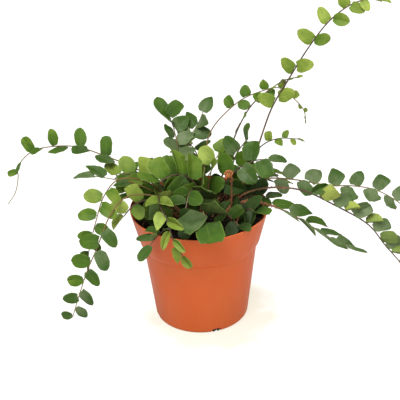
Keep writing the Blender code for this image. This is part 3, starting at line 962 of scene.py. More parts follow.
# Each row's share of the length and half its width, as in LeafletPattern
PATTERNS = {
    LeafForm.ROUND: LeafletPattern(((0.11, 0.235), (0.21, 0.395), (0.38, 0.485), (0.58, 0.495),
                                    (0.78, 0.415), (0.925, 0.25), (1.0, 0.08))),
    LeafForm.OBLONG: LeafletPattern(((0.10, 0.30), (0.20, 0.45), (0.38, 0.49), (0.60, 0.495), (0.80, 0.47),
                                     (0.95, 0.35), (1.0, 0.18)), fold=12.0, curl=0.04),
    LeafForm.FOLDED: LeafletPattern(((0.11, 0.22), (0.21, 0.38), (0.38, 0.47), (0.58, 0.48), (0.78, 0.40),
                                     (0.925, 0.24), (1.0, 0.06)), fold=38.0, curl=-0.02, wave=0.03),
    LeafForm.KIDNEY: LeafletPattern(((0.09, 0.33), (0.21, 0.475), (0.38, 0.50), (0.57, 0.47), (0.77, 0.375),
                                     (0.92, 0.225), (1.0, 0.07)), fold=6.0, curl=0.07, lobe=0.08),
    LeafForm.BROAD: LeafletPattern(((0.11, 0.27), (0.22, 0.43), (0.40, 0.47), (0.62, 0.49), (0.82, 0.50),
                                    (0.95, 0.39), (1.0, 0.20)), fold=7.0, curl=0.03, wave=0.05),
    LeafForm.POINTED: LeafletPattern(((0.10, 0.29), (0.19, 0.45), (0.35, 0.50), (0.55, 0.45), (0.75, 0.31),
                                      (0.91, 0.14), (1.0, 0.015)), fold=13.0, curl=0.02, wave=0.03),
}


@dataclass(frozen=True)
class Quirk:
    """How one leaflet differs from its pattern. Each amount is a share of its width.

    Attributes:
        hook: How far its tip is drawn to one side.
        skew: How far one half is pushed ahead of the other.
        bias: How much wider one half is than the other.
        cup: How far its edges are raised.
        crease: How far its halves are raised from a crease along the middle.
        ripple: How far its edges go up and down.
        notch: How far its outline goes in and out.
        phase: Where those waves start.
    """

    hook: float
    skew: float
    bias: float
    cup: float
    crease: float
    ripple: float
    notch: float
    phase: float

    SPREADS = ((0.0, 0.22), (-0.18, 0.18), (-0.12, 0.12), (-0.10, 0.12), (-0.10, 0.34), (0.0, 0.06),
               (0.0, 0.05), (0.0, math.tau))
    WAVES = 7.5  # how fast the edges go up and down along the leaflet
    APART = 2.6  # how far the two edges are out of step
    NOTCHES = 1.7  # how much faster the outline goes in and out

    @classmethod
    def drawn(cls, draw: random.Random, row: int) -> Quirk:
        """A quirk by chance, with the tip drawn towards the frond's own tip.

        Args:
            draw: The source of chance.
            row: -1 on the frond's left, 1 on its right and 0 at its tip.

        Returns:
            The quirk.
        """
        hook, *others = (draw.uniform(*spread) for spread in cls.SPREADS)
        return cls(row * hook, *others)

    def bend(self, x: float, y: float, z: float) -> Point:
        """Bend a point of the pattern.

        Args:
            x: How far along the leaflet the point is.
            y: How far it is off the middle.
            z: How high it lies.

        Returns:
            Where the point comes to lie.
        """
        wave = self.phase + self.WAVES * x + (self.APART if y > 0.0 else 0.0)
        uneven = math.copysign(self.bias, y) + self.notch * math.sin(self.NOTCHES * wave)
        rim = min(1.0, 2.0 * abs(y))
        return (x + self.skew * y * math.sin(math.pi * min(1.0, max(0.0, x))),
                y * (1.0 + uneven) + self.hook * x * x,
                z + 2.0 * self.cup * y * y + self.crease * abs(y) + self.ripple * rim**2 * math.sin(wave))


# Stalks and the places of the leaflets on them

STALK_BURIED = 8.0 * MM
STALK_POINTS = 4  # the fewest points of a stalk above the mix
CURVE_STEPS = 12  # points between two points of a route
CREASE = 50.0  # edges sharper than this stay sharp, in degrees


def spline_point(a: Vector, b: Vector, c: Vector, d: Vector, t: float) -> Vector:
    """A point between b and c on the smooth curve through a, b, c and d."""
    return 0.5 * (2 * b + (c - a) * t + (2 * a - 5 * b + 4 * c - d) * t**2 + (3 * b - a - 3 * c + d) * t**3)


class Line:
    """A line through points, measured along its length."""

    def __init__(self, points: Sequence[Vector]) -> None:
        """Measure how far along the line each of its points is.

        Args:
            points: The points.
        """
        self.points = list(points)
        self.reach = [0.0]
        for a, b in zip(self.points, self.points[1:]):
            self.reach.append(self.reach[-1] + (b - a).length)

    def find(self, share: float) -> tuple[Vector, Vector]:
        """Find a place on the line.

        Args:
            share: The share of its length that lies before the place.

        Returns:
            The place, and the line's direction there.
        """
        wanted, k = share * self.reach[-1], 0
        while k < len(self.reach) - 2 and self.reach[k + 1] < wanted:
            k += 1
        a, b = self.points[k], self.points[k + 1]
        return a.lerp(b, (wanted - self.reach[k]) / (self.reach[k + 1] - self.reach[k])), (b - a).normalized()


def smooth_route(route: Sequence[Point], step: float) -> list[Vector]:
    """A stalk's points: its foot in the mix, where it leaves the mix, then evenly to its tip.

    Args:
        route: The points that it passes through, in millimetres.
        step: About how far apart its points are.

    Returns:
        The points, in metres.
    """
    via = [Vector(p) * MM for p in route]
    foot = via[0] - (via[1] - via[0]).normalized() * STALK_BURIED
    guides = [foot, *via, 2 * via[-1] - via[-2]]
    fours = zip(guides, guides[1:], guides[2:], guides[3:])
    curve = [spline_point(*four, k / CURVE_STEPS) for four in fours for k in range(CURVE_STEPS)]
    fine = Line([*curve, via[-1]])
    last = max(STALK_POINTS - 1, round(fine.reach[-1] / step))
    return [foot, *(fine.find(k / last)[0] for k in range(last + 1))]


class StalkLine(Line):
    """A stalk above the mix as a line, which knows how the frond faces along it."""

    def __init__(self, points: Sequence[Vector]) -> None:
        """Start from the stalk's points, of which the first is its foot in the mix."""
        super().__init__(points[1:])
        self.side = (self.points[-1] - self.points[0]).cross(UP).normalized()

    def at(self, share: float) -> Axes:
        """The frond's axes at a place on the stalk.

        Args:
            share: The share of the stalk's length that lies before the place.

        Returns:
            The place, the stalk's direction there, its right-hand side and its upper side.
        """
        place, along = self.find(share)
        side = (self.side - along * self.side.dot(along)).normalized()
        return place, along, side, side.cross(along)


@dataclass(frozen=True)
class Seat:
    """Where one leaflet grows on its stalk, and how it lies.

    Attributes:
        share: The share of the stalk's length.
        row: -1 on the left, 1 on the right and 0 at the tip.
        step: How far along the frond's leaflets it is, from 0 to 1.
        lift: How far it is raised above the frond's flat, in radians.
        sweep: The angle between it and the stalk, in radians.
        twist: How far it is turned about its own length, in radians.
        size: Its length and width.
        droop: How far its tip hangs, as a share of its length.
    """

    share: float
    row: int
    step: float
    lift: float
    sweep: float
    twist: float
    size: tuple[float, float]
    droop: float

    TIP_HALF = 0.20  # half the width of a solid leaflet's tip, as a share of its width

    def axes(self, line: StalkLine) -> Axes:
        """Which way the leaflet lies.

        Args:
            line: The stalk that it grows on.

        Returns:
            Its foot, and its length, width and upper directions.
        """
        place, along, side, upper = line.at(self.share)
        if self.row == 0:
            length = (along * math.cos(self.lift) + upper * math.sin(self.lift)).normalized()
            width = -side
        else:
            out = side * self.row * math.cos(self.lift) + upper * math.sin(self.lift)
            length = (out * math.sin(self.sweep) + along * math.cos(self.sweep)).normalized()
            width = self.row * (along - length * along.dot(length)).normalized()
        width = Matrix.Rotation(self.twist, 3, length) @ width
        return place, length, width, length.cross(width).normalized()

    def tip_corners(self, line: StalkLine) -> tuple[Vector, Vector]:
        """The two corners that a solid leaflet's tip has here.

        Args:
            line: The stalk that it grows on.

        Returns:
            The corners.
        """
        place, length, width, upper = self.axes(line)
        long, wide = self.size
        end = place + length * long - upper * (self.droop * long)
        return end - width * (self.TIP_HALF * wide), end + width * (self.TIP_HALF * wide)


class SolidFrond:
    """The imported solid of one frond, which tells how its leaflets were turned to stay clear of others."""

    STEP = 17.0 * MM  # the distance between the rings of its stem
    TURNS = (0, 10, -10, 20, -20, 32, -32, 46, -46)
    SHRINKS = (1.0, 0.82)
    MISS = 1.3 * MM  # how far off a leaflet's two tip corners may be in all

    def __init__(self, node: str) -> None:
        """Ready the solid's vertices for searching."""
        self.tree = search_tree([vertex.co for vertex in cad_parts[node].data.vertices])

    def settle(self, seat: Seat, line: StalkLine) -> Seat | None:
        """Find how a leaflet was turned and reduced.

        Args:
            seat: The leaflet as it was first placed.
            line: The solid's stalk.

        Returns:
            The leaflet as the solid has it, or None if it was left out.
        """
        best, least = None, self.MISS
        long, wide = seat.size
        for shrink in self.SHRINKS:
            for turn in self.TURNS:
                tried = replace(seat, lift=seat.lift + math.radians(turn),
                                size=(long * shrink, wide * shrink))
                miss = sum(self.tree.find(corner)[2] for corner in tried.tip_corners(line))
                if miss < least:
                    best, least = tried, miss
        return best


@dataclass(frozen=True)
class Tuft:
    """A tuft of fine hairs, modelled once and copied.

    Attributes:
        hairs: How many hairs it has.
        height: How long they are.
        thick: How thick a hair is at its root.
        lean: How far they lean outwards, in degrees.
        uneven: How far their lengths vary, as shares.
        leaning: How far their leans vary, as shares.
        strayed: How far they stray from even places round the tuft, in radians.
    """

    hairs: int = 5
    height: float = 2.1 * MM
    thick: float = 0.17 * MM
    lean: float = 44.0
    uneven: Range = (0.6, 1.1)
    leaning: Range = (0.4, 1.2)
    strayed: Range = (-0.4, 0.4)

    def model(self, name: str, draw: random.Random) -> Piece:
        """Model the tuft, standing on the origin.

        Args:
            name: The tuft's name.
            draw: The source of its unevenness.

        Returns:
            The tuft.
        """
        pieces = []
        for k in range(self.hairs):
            height = self.height * draw.uniform(*self.uneven)
            hair = add(bpy.ops.mesh.primitive_cone_add, "hair", vertices=3, radius1=self.thick, radius2=0.0,
                       depth=height, location=(0.0, 0.0, height / 2))
            lean = math.radians(self.lean * draw.uniform(*self.leaning))
            turn = math.tau * k / self.hairs + draw.uniform(*self.strayed)
            with editing(hair):
                for angle, axis in ((lean, "X"), (turn, "Z")):
                    bpy.ops.transform.rotate(value=angle, orient_axis=axis, center_override=ORIGIN)
            stain(hair, [min(1.0, vertex.co.length / height) for vertex in hair.data.vertices])
            pieces.append(hair)
        return join(pieces, name)


@dataclass
class Patterns:
    """The leaflet and hair patterns that every frond copies, modelled once.

    Attributes:
        finishes: The plant's materials.
        seed: Starts the hairs' unevenness.
    """

    finishes: Finishes
    seed: int = 7

    TUFTS = 3
    CROWDING = 1.3  # how much closer together tufts stand towards a stalk's foot
    SUNK = 0.8  # how far from a stalk's middle a tuft starts, as a share of the stalk's radius
    ASLANT = 0.5  # how far tufts slant towards a stalk's tip
    UNEVEN = (0.6, 1.1)  # how far their sizes vary

    def __post_init__(self) -> None:
        """Model each pattern."""
        draw = random.Random(self.seed)
        self.leaflets = {form: pattern.model(f"pattern_{form.value}") for form, pattern in PATTERNS.items()}
        self.tufts = [Tuft().model(f"pattern_tuft_{k}", draw) for k in range(self.TUFTS)]
        for sheet in self.leaflets.values():
            sheet.data.materials.append(self.finishes.upper)
            sheet.data.materials.append(self.finishes.under)
        for tuft in self.tufts:
            tuft.data.materials.append(self.finishes.fur)

    def leaflet(self, form: LeafForm, seat: Seat, axes: Axes, tone: float, quirk: Quirk) -> Piece:
        """Copy a leaflet to its place.

        Args:
            form: The leaflet's shape.
            seat: Its size and its droop.
            axes: Its foot, and its length, width and upper directions.
            tone: How pale it is.
            quirk: How it differs from its pattern.

        Returns:
            The leaflet, as a sheet with its own mesh.
        """
        sheet = twin(self.leaflets[form])
        foot, length, width, upper = axes
        long, wide = seat.size
        for vertex in sheet.data.vertices:
            x, y, z = quirk.bend(*vertex.co)
            rise = z * wide - seat.droop * long * x * x
            vertex.co = foot + length * (x * long) + width * (y * wide) + upper * rise
        stain(sheet, [tone] * len(sheet.data.vertices))
        return sheet

    def tuft(self, foot: Vector, out: Vector, size: float, draw: random.Random) -> Piece:
        """Copy a tuft of hairs to its place.

        Args:
            foot: Where it stands.
            out: Which way it stands.
            size: Its size, where 1 is the pattern's.
            draw: The source of its turn.

        Returns:
            The tuft, with its own mesh.
        """
        pattern = draw.choice(self.tufts)
        stand = Matrix.Translation(foot) @ out.to_track_quat("Z", "Y").to_matrix().to_4x4()
        turn = Matrix.Rotation(draw.uniform(0, math.tau), 4, "Z")
        return twin(pattern, stand @ turn @ Matrix.Scale(size, 4))

    def fur(self, points: Sequence[Vector], radii: Sequence[float], count: int, size: float,
            finish: bpy.types.Material, draw: random.Random) -> list[Piece]:
        """Tufts all round a stalk, closer together towards its foot.

        Args:
            points: The furry stretch of the stalk, from its foot.
            radii: The stalk's radius at each point.
            count: How many tufts there are.
            size: The tufts' size.
            finish: Their material.
            draw: The source of their unevenness.

        Returns:
            The tufts.
        """
        made = []
        for _ in range(count):
            share = draw.random() ** self.CROWDING * (len(points) - 1.001)
            k = int(share)
            along = (points[k + 1] - points[k]).normalized()
            spoke = Matrix.Rotation(draw.uniform(0, math.tau), 3, along) @ along.orthogonal().normalized()
            foot = points[k].lerp(points[k + 1], share - k) + spoke * (radii[k] * self.SUNK)
            out = (spoke + along * self.ASLANT).normalized()
            made.append(self.tuft(foot, out, size * draw.uniform(*self.UNEVEN), draw))
            made[-1].data.materials[0] = finish
        return made


@dataclass(frozen=True)
class Look:
    """How one frond is coloured and what leaflets it carries.

    Attributes:
        left: The shade of its left row.
        right: The shade of its right row.
        fade: How much paler the leaflets at its tip are.
        rust: How rusty and furry its stalk is, from 0 to 1.
        habit: The leaflet shapes that it carries.
    """

    left: Shade
    right: Shade
    fade: float = 0.0
    rust: float = 0.0
    habit: Habit = Habit.ROUND


@dataclass(frozen=True)
class Frond:
    """One frond, on the places of the solid one.

    Attributes:
        name: The solid's name.
        route: The points that its stalk passes through, in millimetres, from where it leaves the mix.
        span: The share of its length where the first and the last leaflets grow.
        pairs: How many pairs of leaflets there are.
        blade: The length and width of the largest leaflet, in millimetres.
        lift: How far the left and the right row are raised above its flat, in degrees.
        small: The size of the leaflets at its tip, as a share of the largest.
        look: Its colours and its leaflets' shapes.
        sweep: The angle between the stalk and each row's leaflets, in degrees.
        stagger: How far the right row is behind the left one, as a share of the distance between pairs.
        crowd: How much closer the pairs stand towards the tip.
        tip: Whether a leaflet ends it.
    """

    name: str
    route: tuple[Point, ...]
    span: Range
    pairs: int
    blade: Range
    lift: Range
    small: float
    look: Look
    sweep: Range = (74, 74)
    stagger: float = 0.5
    crowd: float = 0.2
    tip: bool = True

    # The draws of the solid model
    SHARES = (-0.008, 0.008)
    LONGS = (0.92, 1.06)
    WIDES = (0.93, 1.07)
    LIFTS = (-8.0, 8.0)
    SWEEPS = (-7.0, 7.0)
    TWISTS = (-12.0, 12.0)
    DROOPS = (0.0, 0.16)
    END_SHARE = 0.985
    END_LIFTS = (-14.0, 2.0)
    END_DROOP = 0.08

    # The finer frond
    STEP = 3.0 * MM
    THICKNESS = 0.38 * MM
    TONES = (-0.13, 0.13)
    SLENDER_SIZE = (0.88, 0.6)  # length and width of a slender frond's right row, as shares
    NARROW_HOOK = 0.4  # how much further the tips of narrow leaflets are drawn towards the frond's tip
    FOOT_RADIUS = 0.9 * MM
    TIP_RADIUS = 0.5 * MM
    FUR_START = 2  # the stalk's point where the fur starts
    FURRY_POINTS = 4  # the fewest points that are furry
    PALE_RUST = 0.2  # a stalk with less rust is pale
    FULL_RUST = 0.8  # a stalk with more rust is rusty all along

    # Each of these for a stalk without rust, and what rust adds to it
    STOUTNESS = (0.76, 0.6)
    FURRY_SHARE = (0.14, 0.24)
    TUFT_SIZE = (0.65, 0.35)
    TUFTS = (22.0, 110.0)

    def seats(self) -> list[Seat]:
        """Where each leaflet grows, with the same draws as in the solid model.

        Returns:
            The leaflets' seats, from the lowest to the tip.
        """
        draw = random.Random(self.name)
        first, last = self.span
        long, wide = self.blade
        seats = []
        for k in range(self.pairs):
            for side, row in enumerate((-1, 1)):
                step = (k + self.stagger * side) / (self.pairs - 1 + self.stagger)
                eased = step * (1.0 + self.crowd) - self.crowd * step**2
                share = first + (last - first) * eased + draw.uniform(*self.SHARES)
                scale = (1.0 - (1.0 - self.small) * step**2) * draw.uniform(*self.LONGS) * MM
                lift = self.lift[side] + draw.uniform(*self.LIFTS)
                sweep = self.sweep[side] + draw.uniform(*self.SWEEPS)
                angles = map(math.radians, (lift, sweep, draw.uniform(*self.TWISTS)))
                size = (long * scale, wide * scale * draw.uniform(*self.WIDES))
                seats.append(Seat(share, row, step, *angles, size, draw.uniform(*self.DROOPS)))
        if self.tip:
            size = (long * self.small * MM, wide * self.small * MM)
            lift = math.radians(draw.uniform(*self.END_LIFTS))
            seats.append(Seat(self.END_SHARE, 0, 1.0, lift, 0.0, 0.0, size, self.END_DROOP))
        return seats

    def leaflets(self, patterns: Patterns, fine: StalkLine) -> Piece:
        """Copy the leaflets to their places and give them their thickness.

        Args:
            patterns: The patterns to copy.
            fine: The smooth stalk that they grow on.

        Returns:
            The leaflets, joined.
        """
        draw = random.Random(self.name + " leaflets")
        solid, coarse = SolidFrond(self.name), StalkLine(smooth_route(self.route, SolidFrond.STEP))
        look, sheets = self.look, []
        for seat in self.seats():
            settled = solid.settle(seat, coarse)
            form = draw.choice(look.habit.value)
            shade = look.left if seat.row < 0 else look.right
            tone = shade.value + look.fade * seat.step + draw.uniform(*self.TONES)
            quirk = Quirk.drawn(draw, seat.row)
            if settled is None:
                continue
            if look.habit in (Habit.NARROW, Habit.SLENDER):
                quirk = replace(quirk, hook=quirk.hook + self.NARROW_HOOK * seat.row)
            axes = (fine.find(settled.share)[0], *settled.axes(coarse)[1:])
            if look.habit is Habit.SLENDER and seat.row > 0:
                long, wide = (side * share for side, share in zip(settled.size, self.SLENDER_SIZE))
                settled = replace(settled, size=(long, wide))
                quirk = replace(quirk, hook=quirk.hook + seat.step)
            sheets.append(patterns.leaflet(form, settled, axes, min(1.0, max(0.0, tone)), quirk))
        blades = join(sheets, self.name + "_leaflets")
        modify(blades, "SOLIDIFY", thickness=self.THICKNESS, offset=0.0, material_offset=1,
               material_offset_rim=0)
        return blades

    def rusted(self, value: Range) -> float:
        """A value of the stalk, with what its rust adds to it."""
        return value[0] + value[1] * self.look.rust

    def stalk(self, patterns: Patterns, points: Sequence[Vector]) -> Piece:
        """Model the wiry stalk with its fur.

        Args:
            patterns: The patterns of the hairs.
            points: The stalk's points, from its foot in the mix.

        Returns:
            The stalk and its hairs, joined.
        """
        rust, finishes, last = self.look.rust, patterns.finishes, len(points) - 1
        stout, taper = min(1.0, self.rusted(self.STOUTNESS)), self.TIP_RADIUS - self.FOOT_RADIUS
        radii = [stout * (self.FOOT_RADIUS + taper * k / last) for k in range(last + 1)]
        tube = wire(self.name + "_stalk", points, radii, 1)
        plain = finishes.pale_stalk if rust < self.PALE_RUST else finishes.stalk
        tube.data.materials.append(finishes.rusty_stalk if rust > self.FULL_RUST else plain)
        reach = max(self.FURRY_POINTS, round(len(points) * self.rusted(self.FURRY_SHARE)))
        furry = slice(self.FUR_START, self.FUR_START + reach)
        count = round(self.TUFTS[0] + self.TUFTS[1] * rust**2)
        tufts = patterns.fur(points[furry], radii[furry], count, self.rusted(self.TUFT_SIZE),
                             finishes.brown_fur, random.Random(self.name + " fur"))
        return join([tube, *tufts], self.name + "_stalk")

    def build(self, patterns: Patterns) -> Piece:
        """Build the frond in place of its solid.

        Args:
            patterns: The patterns to copy.

        Returns:
            The finished frond.
        """
        points = smooth_route(self.route, self.STEP)
        blades = self.leaflets(patterns, StalkLine(points))
        piece = join([blades, self.stalk(patterns, points)], self.name + "_grown")
        smooth(piece, CREASE)
        return install(piece, self.name)


@dataclass(frozen=True)
class Crozier:
    """A young frond, still rolled up and furry.

    Attributes:
        name: The solid's name.
        route: The points that its stalk passes through, in millimetres.
        radius: The stalk's radius in millimetres.
        coil: The coil's radius in millimetres.
        turns: The coil's turns.
        tufts: How many tufts of hair its coil has.
    """

    name: str
    route: tuple[Point, ...]
    radius: float
    coil: float
    turns: float
    tufts: int

    STEP = 2.5 * MM
    SOLID_COIL_STEPS = 8
    COIL_STEPS = 22
    CLOSING = 0.72
    PITCH = 0.5 * MM
    TAPER = 0.8
    SLIM = 0.56  # how thick the stalk under the coil is, as a share of the coil's thickness
    BELOW = 4  # how many points below the coil are as thick and as furry as the coil
    FUR_START = 2  # the stalk's point where the thinner fur starts
    THIN_FUR = 12  # how many times fewer tufts the stalk has
    STALK_TUFT = 0.5
    COIL_TUFT = 0.66

    def points(self) -> list[Vector]:
        """The line of the stalk and of the coil that its tip is rolled into.

        Returns:
            Its points, from the foot in the mix.
        """
        points = smooth_route(self.route, self.STEP)
        along = (points[-1] - points[-2]).normalized()
        inward = Vector((-1.0, 0.0, 0.0))
        inward = (inward - along * inward.dot(along)).normalized()
        centre = points[-1] + inward * self.coil * MM
        steps, solid_steps = round(self.turns * self.COIL_STEPS), round(self.turns * self.SOLID_COIL_STEPS)
        for k in range(1, steps + 1):
            angle = math.tau * self.turns * k / steps
            reach = self.coil * MM * (1.0 - self.CLOSING * k / steps)
            forward = Vector((0.0, -self.PITCH * solid_steps * k / steps, 0.0))
            points.append(centre + (along * math.sin(angle) - inward * math.cos(angle)) * reach + forward)
        return points

    def build(self, patterns: Patterns) -> Piece:
        """Build the crozier in place of its solid.

        Args:
            patterns: The patterns of the hairs.

        Returns:
            The finished crozier.
        """
        points, finishes, draw = self.points(), patterns.finishes, random.Random(self.name + " fur")
        last = len(points) - 1
        start = len(points) - round(self.turns * self.COIL_STEPS) - self.BELOW
        radii = [self.radius * MM * (1.0 + (self.TAPER - 1.0) * k / last) * (self.SLIM if k < start else 1.0)
                 for k in range(last + 1)]
        tube = wire(self.name + "_coil", points, radii, 2)
        tube.data.materials.append(finishes.rusty_stalk)
        below = slice(self.FUR_START, start + 1)
        tufts = patterns.fur(points[below], radii[below], self.tufts // self.THIN_FUR, self.STALK_TUFT,
                             finishes.brown_fur, draw)
        tufts += patterns.fur(points[start:], radii[start:], self.tufts, self.COIL_TUFT, finishes.fur, draw)
        piece = join([tube, *tufts], self.name + "_grown")
        smooth(piece, CREASE)
        return install(piece, self.name)


